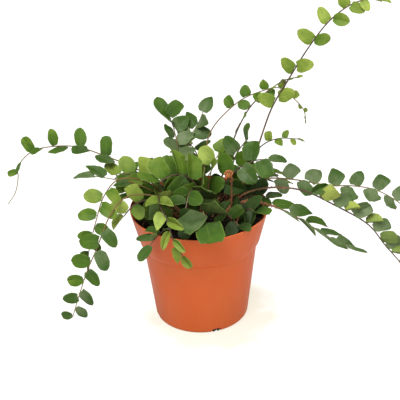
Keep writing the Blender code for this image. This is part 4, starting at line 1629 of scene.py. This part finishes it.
DEEP_SHEENED, DARK, MID, FRESH, BRIGHT = Shade
FRONDS = (
    Frond("frond_left_arch", ((-8, 6, 94), (-28, 8, 122), (-56, 11, 139), (-79, 12, 150), (-101, 14, 158),
        (-120, 11, 161), (-139, 5, 160), (-151, -3, 151), (-152, -7, 141), (-155, -10, 129),
        (-162, -12, 119)),
        (0.415, 0.85), 5, (19, 12), (2, 72), 0.5, Look(DARK, DARK, 0.16, 0, Habit.OBLONG), sweep=(48, 75),
        stagger=0.3, crowd=0.0, tip=False),
    Frond("frond_left_short", ((-15, 0, 94), (-36, -3, 120), (-60, -6, 134), (-74, -10, 139),
        (-87, -14, 144)),
        (0.66, 0.9), 1, (15, 9.5), (-30, 45), 1.3, Look(DEEP_SHEENED, DEEP_SHEENED, 0.05, 0, Habit.NARROW), sweep=(46, 46)),
    Frond("frond_left_hang", ((-11, -7, 94), (-36, -14, 132), (-63, -22, 145), (-77, -36, 138),
        (-85, -46, 119), (-92, -52, 95), (-94, -54, 80)),
        (0.575, 0.92), 4, (17.5, 12.5), (-38, 46), 0.45, Look(FRESH, FRESH, -0.22, 0.1, Habit.OVAL),
        sweep=(82, 82), crowd=0.1),
    Frond("frond_left_trail", ((-4, -12, 94), (-28, -22, 124), (-56, -38, 137), (-72, -50, 127),
        (-85, -60, 100), (-94, -64, 81), (-102, -66, 59), (-109, -66, 38)),
        (0.575, 0.99), 5, (18.5, 12.5), (-46, 46), 0.62, Look(DARK, MID, -0.08, 0.1, Habit.OVAL),
        sweep=(64, 66), stagger=0.45, crowd=0.05, tip=False),
    Frond("frond_back_left_low", ((-10, 13, 94), (-15, 26, 128), (-18, 40, 150), (-22, 50, 163),
        (-28, 57, 171)),
        (0.44, 0.92), 4, (17, 13.5), (38, 28), 0.95, Look(DEEP_SHEENED, DEEP_SHEENED, 0.16)),
    Frond("frond_back_left_high", ((-3, 15, 94), (-8, 27, 128), (-7, 40, 149), (1, 50, 160), (6, 55, 170)),
        (0.42, 0.9), 4, (17.5, 12.5), (22, 58), 1.05, Look(DEEP_SHEENED, DEEP_SHEENED, 0.16), sweep=(70, 98)),
    Frond("frond_back_high", ((3, 17, 94), (6, 24, 128), (12, 38, 158), (36, 49, 180), (58, 50, 190),
        (73, 48, 193), (84, 42, 186), (93, 38, 176), (95, 37, 164)),
        (0.53, 0.97), 6, (10.5, 9.5), (66, -20), 0.3, Look(MID, MID, 0.35, 0.1), sweep=(80, 80), crowd=0.1),
    Frond("frond_back_young", ((9, 17, 94), (24, 24, 130), (34, 33, 158), (48, 42, 180), (66, 46, 194),
        (78, 44, 202), (89, 42, 205)),
        (0.5, 0.95), 4, (9, 7.5), (-20, 24), 0.6, Look(MID, FRESH, 0.1, 0.3, Habit.MIXED), sweep=(80, 80)),
    # Its leaflets' paling towards the tip is partly their fresher colour and partly a painted sheen.
    Frond("frond_tall", ((15, 8, 94), (36, 9, 117), (50, 14, 148), (63, 18, 185), (77, 20, 210),
        (94, 22, 238), (110, 22, 260), (126, 20, 274), (141, 16, 281), (152, 12, 280)),
        (0.468, 0.94), 6, (16, 12), (66, -60), 0.7, Look(FRESH, FRESH, 0.2, 0.4, Habit.KIDNEY),
        sweep=(97, 58), stagger=0.08, crowd=0.5),
    Frond("frond_right_thin", ((13, 13, 94), (38, 17, 128), (54, 22, 149), (70, 26, 155), (89, 28, 153)),
        (0.74, 0.93), 2, (8.5, 6.5), (60, -40), 0.8, Look(FRESH, FRESH, 0.05, 0.2)),
    Frond("frond_right_back", ((18, 15, 94), (34, 17, 112), (58, 23, 118), (84, 28, 114), (116, 30, 106),
        (136, 30, 105), (155, 28, 102), (171, 24, 95), (187, 20, 83), (198, 16, 70)),
        (0.235, 0.95), 8, (16.5, 14.5), (50, -26), 0.85, Look(DEEP_SHEENED, DEEP_SHEENED, 0.05, 0.1, Habit.BLUNT),
        sweep=(66, 66)),
    # Its right row's bright yellow-green is partly the leaflets' fresh colour and partly painted light
    # shining through them.
    Frond("frond_right_arch", ((21, 4, 94), (38, 4, 113), (63, 2, 120), (90, -2, 118), (117, -6, 105),
        (145, -10, 88), (161, -14, 68), (174, -16, 52), (181, -18, 38)),
        (0.42, 0.95), 6, (17.5, 13.5), (70, 78), 0.8, Look(DARK, BRIGHT, -0.56, 0.7, Habit.MIXED),
        sweep=(64, 64), crowd=0.1),
    Frond("frond_right_low", ((18, -2, 94), (38, -4, 110), (58, -10, 110), (77, -16, 104), (102, -22, 89),
        (120, -26, 78), (134, -28, 73)),
        (0.38, 0.925), 5, (24, 12.5), (10, 5), 0.82, Look(DARK, DEEP_SHEENED, -0.03, 1, Habit.SLENDER),
        sweep=(48, 26), crowd=0.0, tip=False),
    Frond("frond_front_hang", ((-8, -16, 94), (-20, -24, 118), (-32, -36, 132), (-31, -50, 131),
        (-26, -61, 124), (-22, -69, 112), (-17, -72, 103), (-14, -72, 97)),
        (0.36, 0.92), 4, (16.5, 11), (36, 4), 0.85, Look(BRIGHT, BRIGHT, 0, 0.4, Habit.NARROW),
        sweep=(56, 56)),
    Frond("frond_rim_small", ((-14, -24, 94), (-20, -36, 104), (-27, -46, 109), (-34, -54, 108),
        (-41, -62, 103)),
        (0.66, 0.88), 2, (13, 8.5), (34, 10), 1.3, Look(MID, DARK, 0, 0.2, Habit.MIXED), sweep=(80, 80)),
    Frond("frond_front_over", ((4, -20, 94), (3, -33, 114), (3, -44, 124), (4, -53, 125), (5, -59, 121)),
        (0.62, 0.8), 1, (26, 22), (-14, -14), 1.08, Look(DARK, DARK, -0.06, 0, Habit.BROAD), sweep=(60, 60)),
    Frond("frond_rear_arch", ((5, 23, 94), (4, 38, 120), (-4, 61, 133), (-12, 86, 123), (-18, 102, 100)),
        (0.36, 0.94), 4, (17, 13), (24, 24), 0.65, Look(DARK, MID, 0.1)),
    Frond("frond_rear_right", ((15, 20, 94), (29, 36, 110), (48, 56, 113), (66, 72, 102), (80, 84, 82)),
        (0.34, 0.94), 4, (17, 13), (10, 10), 0.7, Look(DARK, MID, 0.1)),
    Frond("frond_mid_crown", ((4, 0, 94), (1, -5, 121), (-7, -10, 137), (-19, -14, 143), (-33, -18, 139)),
        (0.24, 0.92), 4, (23, 19), (-46, 52), 0.9, Look(MID, FRESH, -0.08, 0.3, Habit.BROAD)),
    Frond("frond_mid_left_top", ((-9, -1, 94), (-9, 3, 114), (-11, 7, 124), (-17, 9, 129), (-27, 9, 128)),
        (0.26, 0.92), 3, (21, 18), (-40, 52), 0.9, Look(MID, MID, 0.04, 0.2)),
    Frond("frond_mid_left", ((-18, 4, 94), (-29, 3, 115), (-43, 3, 130), (-57, 2, 137), (-70, -1, 137)),
        (0.32, 0.98), 4, (19, 16), (-42, 52), 0.95, Look(MID, FRESH, 0.2, 0.2), tip=False),
    Frond("frond_mid_left_front", ((-15, -9, 94), (-27, -15, 114), (-41, -22, 124), (-54, -28, 123),
        (-63, -33, 115)),
        (0.36, 0.92), 3, (18, 14), (-36, 44), 0.85, Look(FRESH, BRIGHT, 0.1, 0.6, Habit.MIXED)),
    Frond("frond_mid_front", ((3, -8, 94), (0, -14, 118), (-4, -23, 133), (-8, -34, 134), (-11, -43, 126)),
        (0.24, 0.92), 4, (21, 16), (8, 8), 0.85, Look(DARK, DARK, 0, 0.5, Habit.MIXED)),
    Frond("frond_mid_front_right", ((13, -10, 94), (19, -21, 107), (26, -31, 110), (33, -39, 106)),
        (0.34, 0.9), 2, (15, 12.5), (48, -20), 0.9, Look(MID, DARK, 0, 0.5)),
    Frond("frond_mid_right", ((32, -13, 94), (37, -18, 107), (43, -23, 113), (47, -27, 112)),
        (0.36, 0.9), 2, (17, 14.5), (52, -36), 0.95, Look(DARK, DARK, 0, 0.4)),
    Frond("frond_mid_right_top", ((12, 3, 94), (21, 3, 122), (34, 3, 138), (48, 2, 146), (60, 0, 148)),
        (0.26, 0.92), 3, (20, 17), (54, -46), 0.85, Look(DARK, DARK, 0, 0.4)),
    Frond("frond_mid_top", ((6, 6, 94), (9, 11, 119), (13, 17, 136), (19, 22, 145)),
        (0.26, 0.92), 3, (20, 17), (24, 10), 0.85, Look(FRESH, MID, 0.12, 0.1)),
    Frond("frond_mid_top_right", ((22, 11, 94), (27, 13, 124), (33, 16, 145), (42, 16, 159)),
        (0.3, 0.92), 3, (19, 16), (54, -44), 0.9, Look(DARK, MID, 0, 0.3)),
    Frond("frond_mid_back", ((-1, 22, 94), (-4, 36, 112), (-10, 50, 118), (-18, 62, 112)),
        (0.34, 0.92), 3, (19, 15), (14, 14), 0.85, Look(DARK, DARK)),
    Frond("frond_mid_back_left", ((-16, 14, 94), (-30, 28, 112), (-46, 38, 120), (-62, 44, 116)),
        (0.34, 0.92), 3, (19, 15), (20, 20), 0.85, Look(DARK, MID)),
    Frond("frond_mid_back_right", ((26, 17, 94), (37, 29, 108), (50, 40, 112), (62, 48, 105)),
        (0.34, 0.92), 3, (18, 14.5), (12, 12), 0.85, Look(DARK, DARK)),
    Frond("frond_mid_right_low", ((24, 6, 94), (32, 7, 104), (44, 8, 109), (58, 7, 109)),
        (0.3, 0.92), 3, (17, 14), (58, -48), 0.9, Look(DARK, DARK, 0, 0.3)),
    Frond("frond_mid_left_low", ((-21, 1, 94), (-33, 1, 110), (-46, 1, 117), (-58, -1, 116)),
        (0.3, 0.92), 3, (17, 14), (-44, 50), 0.9, Look(DARK, MID, 0, 0.1)),
    Frond("frond_low_left", ((-24, -6, 94), (-34, -12, 103), (-43, -19, 106), (-48, -27, 103)),
        (0.42, 0.82), 2, (16, 14.5), (-20, 40), 1.0, Look(DARK, DARK, 0, 0.2)),
    Frond("frond_low_front_left", ((-5, -22, 94), (-8, -30, 103), (-11, -37, 105)),
        (0.5, 0.8), 1, (12.5, 12), (14, 14), 1.0, Look(DARK, MID, 0, 0.2)),
    Frond("frond_low_front", ((11, -22, 94), (15, -29, 103), (19, -37, 105)),
        (0.5, 0.8), 1, (13, 12), (14, 14), 1.0, Look(DARK, DARK, 0, 0.3)),
)

CROZIERS = (
    Crozier("crozier_tall", ((27, -8, 94), (28, -9, 118), (28, -9, 140)), 1.2, 2.6, 1.5, 330),
    Crozier("crozier_low", ((13, -34, 94), (13, -44, 99), (13, -48, 104)), 1.0, 2.4, 1.3, 180),
)


# The pot and what fills it

def turned(name: str, profile: Rings, segments: int, closed: bool = False) -> Piece:
    """A round body, extruded ring by ring from its base.

    Args:
        name: The body's name.
        profile: The radius and height of each ring, from the outer edge of the base.
        segments: How many sides it has.
        closed: Whether the last ring ends in a point rather than in a flat.

    Returns:
        The body.
    """
    radius, height = profile[0]
    body = add(bpy.ops.mesh.primitive_circle_add, name, vertices=segments, radius=radius, fill_type="NGON",
               location=(0.0, 0.0, height))
    with editing(body):
        for wider, higher in profile[1:]:
            bpy.ops.mesh.extrude_region_move(TRANSFORM_OT_translate={"value": (0.0, 0.0, higher - height)})
            grow = wider / radius
            bpy.ops.transform.resize(value=(grow, grow, 1.0), center_override=(0.0, 0.0, higher))
            radius, height = wider, higher
        if closed:
            bpy.ops.mesh.merge(type="CENTER")
        bpy.ops.mesh.select_all(action="SELECT")
        bpy.ops.mesh.normals_make_consistent(inside=False)
    return body


@dataclass(frozen=True)
class Pot:
    """The tapered nursery pot with its flared collar.

    Attributes:
        height: Its height.
        rim: The radius of its rim.
        collar: The height of the collar, under the rim.
        collar_foot: The radius at the collar's lower edge.
        step: How far the wall under the collar stands back.
        step_height: The height of that step.
        foot: The radius that the wall tapers to at the floor.
        rounding: The radius of the edge between wall and base.
        wall: How thick the plastic is.
        segments: How many sides it is rounded with.
    """

    height: float = 105.0 * MM
    rim: float = 60.0 * MM
    collar: float = 30.0 * MM
    collar_foot: float = 52.4 * MM
    step: float = 2.2 * MM
    step_height: float = 2.4 * MM
    foot: float = 40.8 * MM
    rounding: float = 4.0 * MM
    wall: float = 1.2 * MM
    segments: int = 112

    WALL_RINGS = (12.0 * MM, 24.0 * MM, 36.0 * MM, 48.0 * MM, 60.0 * MM)
    COLLAR_RINGS = (84.0 * MM, 93.0 * MM)
    SOFT = 0.5 * MM  # how far apart the rings round the step's edges are
    EASES = ((-3, 0.0), (-1, 0.1 * MM), (0, 0.35 * MM), (1, 0.8 * MM))  # how far each of them is eased
    NOTCHES = 4
    NOTCH_SIZE = (9.0 * MM, 8.0 * MM, 9.2 * MM)  # depth, width and twice the height
    NOTCH_ROUND = 1.6 * MM
    NOTCH_BEARING = math.radians(-73.0)
    LIP = 0.42 * MM
    LIP_MIDDLE = (0.3, 0.4)  # how far in and down the middle of its rounding is, as shares of it
    CREASE = 42.0

    def radius(self, height: float) -> float:
        """The outer radius, without the step and the rounded base.

        Args:
            height: The height that it is asked for.

        Returns:
            The radius.
        """
        collar_foot = self.height - self.collar
        if height >= collar_foot:
            return self.collar_foot + (height - collar_foot) / self.collar * (self.rim - self.collar_foot)
        return self.foot + height / collar_foot * (self.collar_foot - self.step - self.foot)

    def base_edge(self, inset: float, floor: float) -> Rings:
        """The rounded edge between base and wall, from the base outwards.

        Args:
            inset: How far inside the outer wall it runs.
            floor: The height that it starts from.

        Returns:
            Its rings.
        """
        bend = self.rounding - floor
        middle = self.radius(self.rounding) - inset - bend
        angles = [math.radians(a) for a in range(0, 91, 15)]
        return [(middle + bend * math.sin(a), self.rounding - bend * math.cos(a)) for a in angles]

    def side(self, inset: float, top: float) -> Rings:
        """The wall from above the rounded edge to a height.

        Args:
            inset: How far inside the outer wall it runs.
            top: The height that it ends at.

        Returns:
            Its rings.
        """
        collar = self.height - self.collar
        shoulder = collar - self.step_height
        rings = [(self.radius(z), z) for z in self.WALL_RINGS]
        for k, ease in self.EASES:
            z = shoulder + k * self.SOFT
            rings.append((self.radius(min(z, shoulder)) + ease, z))
        for k, ease in self.EASES[::-1]:
            z = collar - k * self.SOFT
            rings.append((self.radius(max(z, collar)) - ease, z))
        rings += [(self.radius(z), z) for z in self.COLLAR_RINGS]
        rings = [(radius - inset, z) for radius, z in rings if z < top]
        return [*rings, (self.radius(top) - inset, top)]

    def notch_turn(self, k: int) -> Matrix:
        """How far round the pot a drain notch is, by its number."""
        return Matrix.Rotation(self.NOTCH_BEARING + k * math.tau / self.NOTCHES, 4, "Z")

    def build(self, finishes: Finishes) -> Piece:
        """Model the pot with its rounded lip and drain notches.

        Args:
            finishes: The materials.

        Returns:
            The finished pot.
        """
        lip, top, rim = self.LIP, self.height, self.radius(self.height)
        inward, down = (lip * share for share in self.LIP_MIDDLE)
        outer = self.base_edge(0.0, 0.0) + self.side(0.0, top - 2 * lip)
        edge = [(rim - inward, top - down), (rim - lip, top), (rim - self.wall + lip, top),
                (rim - self.wall + inward, top - down)]
        inner = self.base_edge(self.wall, self.wall) + self.side(self.wall, top - 2 * lip)
        pot = turned("pot_moulded", outer + edge + inner[::-1], self.segments)
        depth, cutters = self.NOTCH_SIZE[0], []
        for k in range(self.NOTCHES):
            turn = self.notch_turn(k)
            place = turn @ Vector((self.foot - depth / 2 + self.wall, 0.0, 0.0))
            cutter = add(bpy.ops.mesh.primitive_cube_add, "cutter", size=1.0, location=place,
                         rotation=turn.to_euler(), scale=self.NOTCH_SIZE)
            modify(cutter, "BEVEL", width=self.NOTCH_ROUND, segments=3)
            cutters.append(cutter)
        cutter = join(cutters, "notch_cutters")
        modify(pot, "BOOLEAN", operation="DIFFERENCE", object=cutter, solver="EXACT")
        discard([cutter])
        pot.data.materials.clear()
        pot.data.materials.append(finishes.plastic)
        smooth(pot, self.CREASE)
        return install(pot, "pot")


@dataclass(frozen=True)
class PottingMix:
    """The damp mix in the pot, with its crumbs and fibres.

    Attributes:
        pot: The pot that it fills.
        top: The height of its top.
        gap: How far it stays from the pot's wall.
        rings: How many rings its top is divided into.
        segments: How many sides it has.
        crumbs: How many loose crumbs lie on it.
        fibres: How many fibres lie on it.
        notch_crumbs: How many crumbs lie in each drain notch, as soil and as painted shade.
        seed: Starts the crumbs' places.
    """

    pot: Pot
    top: float = 92.0 * MM
    gap: float = 1.5 * MM
    rings: int = 26
    segments: int = 96
    crumbs: int = 520
    fibres: int = 70
    notch_crumbs: int = 44
    seed: int = 11

    WAVES = ((0.66 * MM, 9.1 * MM, 7.3 * MM, 0.7), (0.40 * MM, 5.7 * MM, 4.9 * MM, 2.0))
    EDGE = 4.0  # how steeply the lumps end at the wall
    LUMPS = ((1.0 * MM, 170.0), (0.5 * MM, 420.0))  # height, and how close together they lie
    CRUMB_KINDS = 4
    CRUMB_SHAPE = (1.0, 0.8, 0.65)
    CRUMB_ROUGH = 0.32
    CRUMB_SIZES = (0.45, 1.0)  # as shares of the largest
    CRUMB_SMALLNESS = 1.6  # how much more of them are small
    CRUMB_LARGEST = 2.0 * MM
    CRUMB_TILT = 0.5
    FIBRE_THICK = 0.16
    FIBRE_HALF = 2.5  # half a fibre's length
    FIBRE_ROUGH = 0.1
    FIBRE_SIZES = (0.8, 1.6)  # in millimetres
    FIBRE_TILT = 0.12
    NOTCH_CRUMB_SIZES = (0.9, 1.5)  # in millimetres
    NOTCH_CRUMB_IN = (0.1, 0.8)  # how far into a notch, as shares of its depth
    NOTCH_CRUMB_ASIDE = (-0.42, 0.42)  # how far off its middle, as shares of its width
    CLEAR = 2.2 * MM  # how far the crumbs and fibres stay from the wall
    SUNK = 0.12  # how high their middles lie, as a share of their size
    CREASE = 60.0

    def height(self, x: float, y: float) -> float:
        """The height of its lumpy top.

        Args:
            x: How far to the right the place is.
            y: How far to the back the place is.

        Returns:
            The height.
        """
        lift = sum(high * math.sin(x / long + start) * math.cos(y / wide + start)
                   for high, long, wide, start in self.WAVES)
        lift += sum(high * noise.noise(Vector((x * near, y * near, 3.0))) for high, near in self.LUMPS)
        return self.top + lift * min(1.0, self.EDGE * (1.0 - math.hypot(x, y) / self.pot.radius(self.top)))

    def crumb_patterns(self, draw: random.Random) -> list[Piece]:
        """The crumbs and the fibre that are copied.

        Args:
            draw: The source of their unevenness.

        Returns:
            The crumbs, then one fibre.
        """
        made = []
        for _ in range(self.CRUMB_KINDS):
            made.append(add(bpy.ops.mesh.primitive_ico_sphere_add, "crumb", subdivisions=1, radius=1.0))
            with editing(made[-1]):
                start = draw.randrange(1000)
                bpy.ops.transform.vertex_random(offset=self.CRUMB_ROUGH, uniform=1.0, seed=start)
                bpy.ops.transform.resize(value=self.CRUMB_SHAPE, center_override=ORIGIN)
        fibre = add(bpy.ops.mesh.primitive_cylinder_add, "fibre", vertices=4, radius=self.FIBRE_THICK,
                    depth=2.0 * self.FIBRE_HALF, rotation=(0.0, math.pi / 2, 0.0))
        with editing(fibre):
            pick(fibre, lambda v: v.co.x > 0.0)
            bpy.ops.transform.resize(value=(1.0, 0.5, 0.5), center_override=(self.FIBRE_HALF, 0.0, 0.0))
            bpy.ops.mesh.select_all(action="SELECT")
            bpy.ops.mesh.subdivide(number_cuts=2)
            bpy.ops.transform.vertex_random(offset=self.FIBRE_ROUGH, uniform=1.0, seed=3)
        return [*made, fibre]

    def notch_soil_and_shade(self, crumb: Piece, draw: random.Random) -> list[Piece]:
        """Crumbs of mix in the drain notches: soil that gathers there, and painted shade that keeps the
        notches dark above the glowing floor.

        Args:
            crumb: The crumb to copy.
            draw: The source of their places.

        Returns:
            The crumbs.
        """
        made = []
        depth, width, tall = self.pot.NOTCH_SIZE
        # Painted shade, in part: these dark crumbs keep the drain notches dark where the glowing floor would
        # light them.
        for k in range(self.pot.NOTCHES * self.notch_crumbs):
            size = draw.uniform(*self.NOTCH_CRUMB_SIZES) * MM
            out = self.pot.foot - draw.uniform(*self.NOTCH_CRUMB_IN) * depth
            aside = draw.uniform(*self.NOTCH_CRUMB_ASIDE) * width
            foot = Vector((out, aside, draw.uniform(size, tall / 2 - size)))
            turn = self.pot.notch_turn(k // self.notch_crumbs)
            made.append(twin(crumb, turn @ Matrix.Translation(foot) @ Matrix.Scale(size, 4)))
        return made

    def strew(self, patterns: Sequence[Piece], reach: float, draw: random.Random) -> list[Piece]:
        """Crumbs, then fibres, strewn over the top.

        Args:
            patterns: The crumbs and the fibre to copy.
            reach: The radius of the top.
            draw: The source of their places.

        Returns:
            The crumbs and fibres.
        """
        made = []
        for k in range(self.crumbs + self.fibres):
            if k < self.crumbs:
                pattern, tilt = draw.choice(patterns[:-1]), self.CRUMB_TILT
                size = draw.uniform(*self.CRUMB_SIZES) ** self.CRUMB_SMALLNESS * self.CRUMB_LARGEST
            else:
                pattern, tilt = patterns[-1], self.FIBRE_TILT
                size = draw.uniform(*self.FIBRE_SIZES) * MM
            bearing, out = draw.uniform(0, math.tau), math.sqrt(draw.random()) * (reach - self.CLEAR)
            x, y = out * math.cos(bearing), out * math.sin(bearing)
            foot = Vector((x, y, self.height(x, y) + size * self.SUNK))
            turn = Matrix.Rotation(draw.uniform(0, math.tau), 4, "Z")
            lean = Matrix.Rotation(draw.uniform(-tilt, tilt), 4, "Y")
            made.append(twin(pattern, Matrix.Translation(foot) @ turn @ lean @ Matrix.Scale(size, 4)))
        return made

    def build(self, finishes: Finishes) -> Piece:
        """Model the mix, and strew it with crumbs and fibres.

        Args:
            finishes: The materials.

        Returns:
            The finished mix.
        """
        draw = random.Random(self.seed)
        wall = self.pot.base_edge(self.gap, self.gap) + self.pot.side(self.gap, self.top)
        reach = wall[-1][0]
        inwards = [(reach * (1.0 - k / self.rings), self.top) for k in range(1, self.rings)]
        body = turned("mix_damp", wall + inwards, self.segments, closed=True)
        for vertex in body.data.vertices:
            if vertex.co.z > self.top - CLOSE:
                vertex.co.z = self.height(vertex.co.x, vertex.co.y)
        patterns = self.crumb_patterns(draw)
        bits = [body, *self.notch_soil_and_shade(patterns[0], draw), *self.strew(patterns, reach, draw)]
        discard(patterns)
        for bit in bits:
            bit.data.materials.append(finishes.mix)
        smooth(body, self.CREASE)
        return install(join(bits, "mix_damp"), "potting_mix")


# The studio

@dataclass(frozen=True)
class SoftLight:
    """A large soft light.

    Attributes:
        name: Its name.
        place: Where it stands.
        size: The length of its sides.
        power: Its power in watts.
    """

    name: str
    place: Point
    size: float
    power: float

    def build(self, target: Vector) -> None:
        """Set the light up, turned towards a point.

        Args:
            target: The point.
        """
        bpy.ops.object.light_add(type="AREA", location=self.place)
        lamp = bpy.context.active_object
        lamp.name = self.name
        lamp.data.size, lamp.data.energy = self.size, self.power
        lamp.rotation_euler = (target - lamp.location).to_track_quat("-Z", "Y").to_euler()


@dataclass(frozen=True)
class Studio:
    """The pale floor, the light and the camera.

    Attributes:
        target: What the camera looks at.
        distance: How far away it stands.
        down: How far it looks down, in degrees.
        roll: How far it leans, in degrees.
        lens: Its focal length in millimetres.
        ambient: The strength of the light from all round.
        lights: The lights.
    """

    target: Point = (0.001, 0.0, 0.111)
    distance: float = 1.0
    down: float = 27.63
    roll: float = -1.71
    lens: float = 104.4
    ambient: float = 0.42
    lights: tuple[SoftLight, ...] = (
        SoftLight("key", (-0.5, -0.95, 2.0), 1.5, 106.0),
        SoftLight("fill", (1.3, -1.0, 0.9), 1.4, 17.0),
    )

    FLOOR = 12.0  # half the floor's width, far enough for its edge to stay out of sight
    FLOOR_THICK = 0.02
    FLOOR_CREASE = 60.0
    SIGHT = 30.0  # how far the camera sees

    def build_floor(self, finishes: Finishes) -> None:
        """The floor, a wide slab with a rounded edge.

        Args:
            finishes: The materials.
        """
        floor = add(bpy.ops.mesh.primitive_plane_add, "floor", size=2 * self.FLOOR)
        with editing(floor):
            bpy.ops.mesh.extrude_region_move(TRANSFORM_OT_translate={"value": (0.0, 0.0, -self.FLOOR_THICK)})
            bpy.ops.mesh.select_all(action="SELECT")
            bpy.ops.mesh.normals_make_consistent(inside=False)
        modify(floor, "BEVEL", width=self.FLOOR_THICK / 4, segments=3)
        floor.data.materials.append(finishes.floor)
        smooth(floor, self.FLOOR_CREASE)

    def build_camera(self) -> None:
        """The camera, at the angle that the plant is seen from."""
        down = math.radians(self.down)
        forward = Vector((0.0, math.cos(down), -math.sin(down)))
        turn = forward.to_track_quat("-Z", "Y").to_matrix().to_4x4()
        roll = Matrix.Rotation(math.radians(self.roll), 4, "Z")
        place = Vector(self.target) - forward * self.distance
        bpy.ops.object.camera_add(location=place)
        camera = bpy.context.active_object
        camera.matrix_world = Matrix.Translation(place) @ turn @ roll
        camera.data.lens = self.lens
        camera.data.clip_end = self.SIGHT
        bpy.context.scene.camera = camera

    def build(self, finishes: Finishes) -> None:
        """Set up the floor, the light and the camera.

        Args:
            finishes: The materials.
        """
        scene = bpy.context.scene
        scene.view_settings.view_transform = "Standard"
        self.build_floor(finishes)
        world = bpy.data.worlds.new("studio")
        world.use_nodes = True
        backdrop = world.node_tree.nodes["Background"]
        backdrop.inputs["Color"].default_value = (1.0, 1.0, 1.0, 1.0)
        backdrop.inputs["Strength"].default_value = self.ambient
        scene.world = world
        for light in self.lights:
            light.build(Vector(self.target))
        self.build_camera()


def main() -> None:
    """Build the plant, its pot and the studio, and report each piece."""
    logging.basicConfig(level=logging.INFO, format="%(message)s")
    finishes = Finishes()
    pot = Pot()
    patterns = Patterns(finishes)
    growth = [part.build(patterns) for part in (*FRONDS, *CROZIERS)]
    for piece in (pot.build(finishes), PottingMix(pot).build(finishes), *growth):
        piece.data.update()
        log.info("%s: %d faces", piece.name, len(piece.data.polygons))
    discard([*patterns.leaflets.values(), *patterns.tufts])
    Studio().build(finishes)


if __name__ == "__main__":
    main()
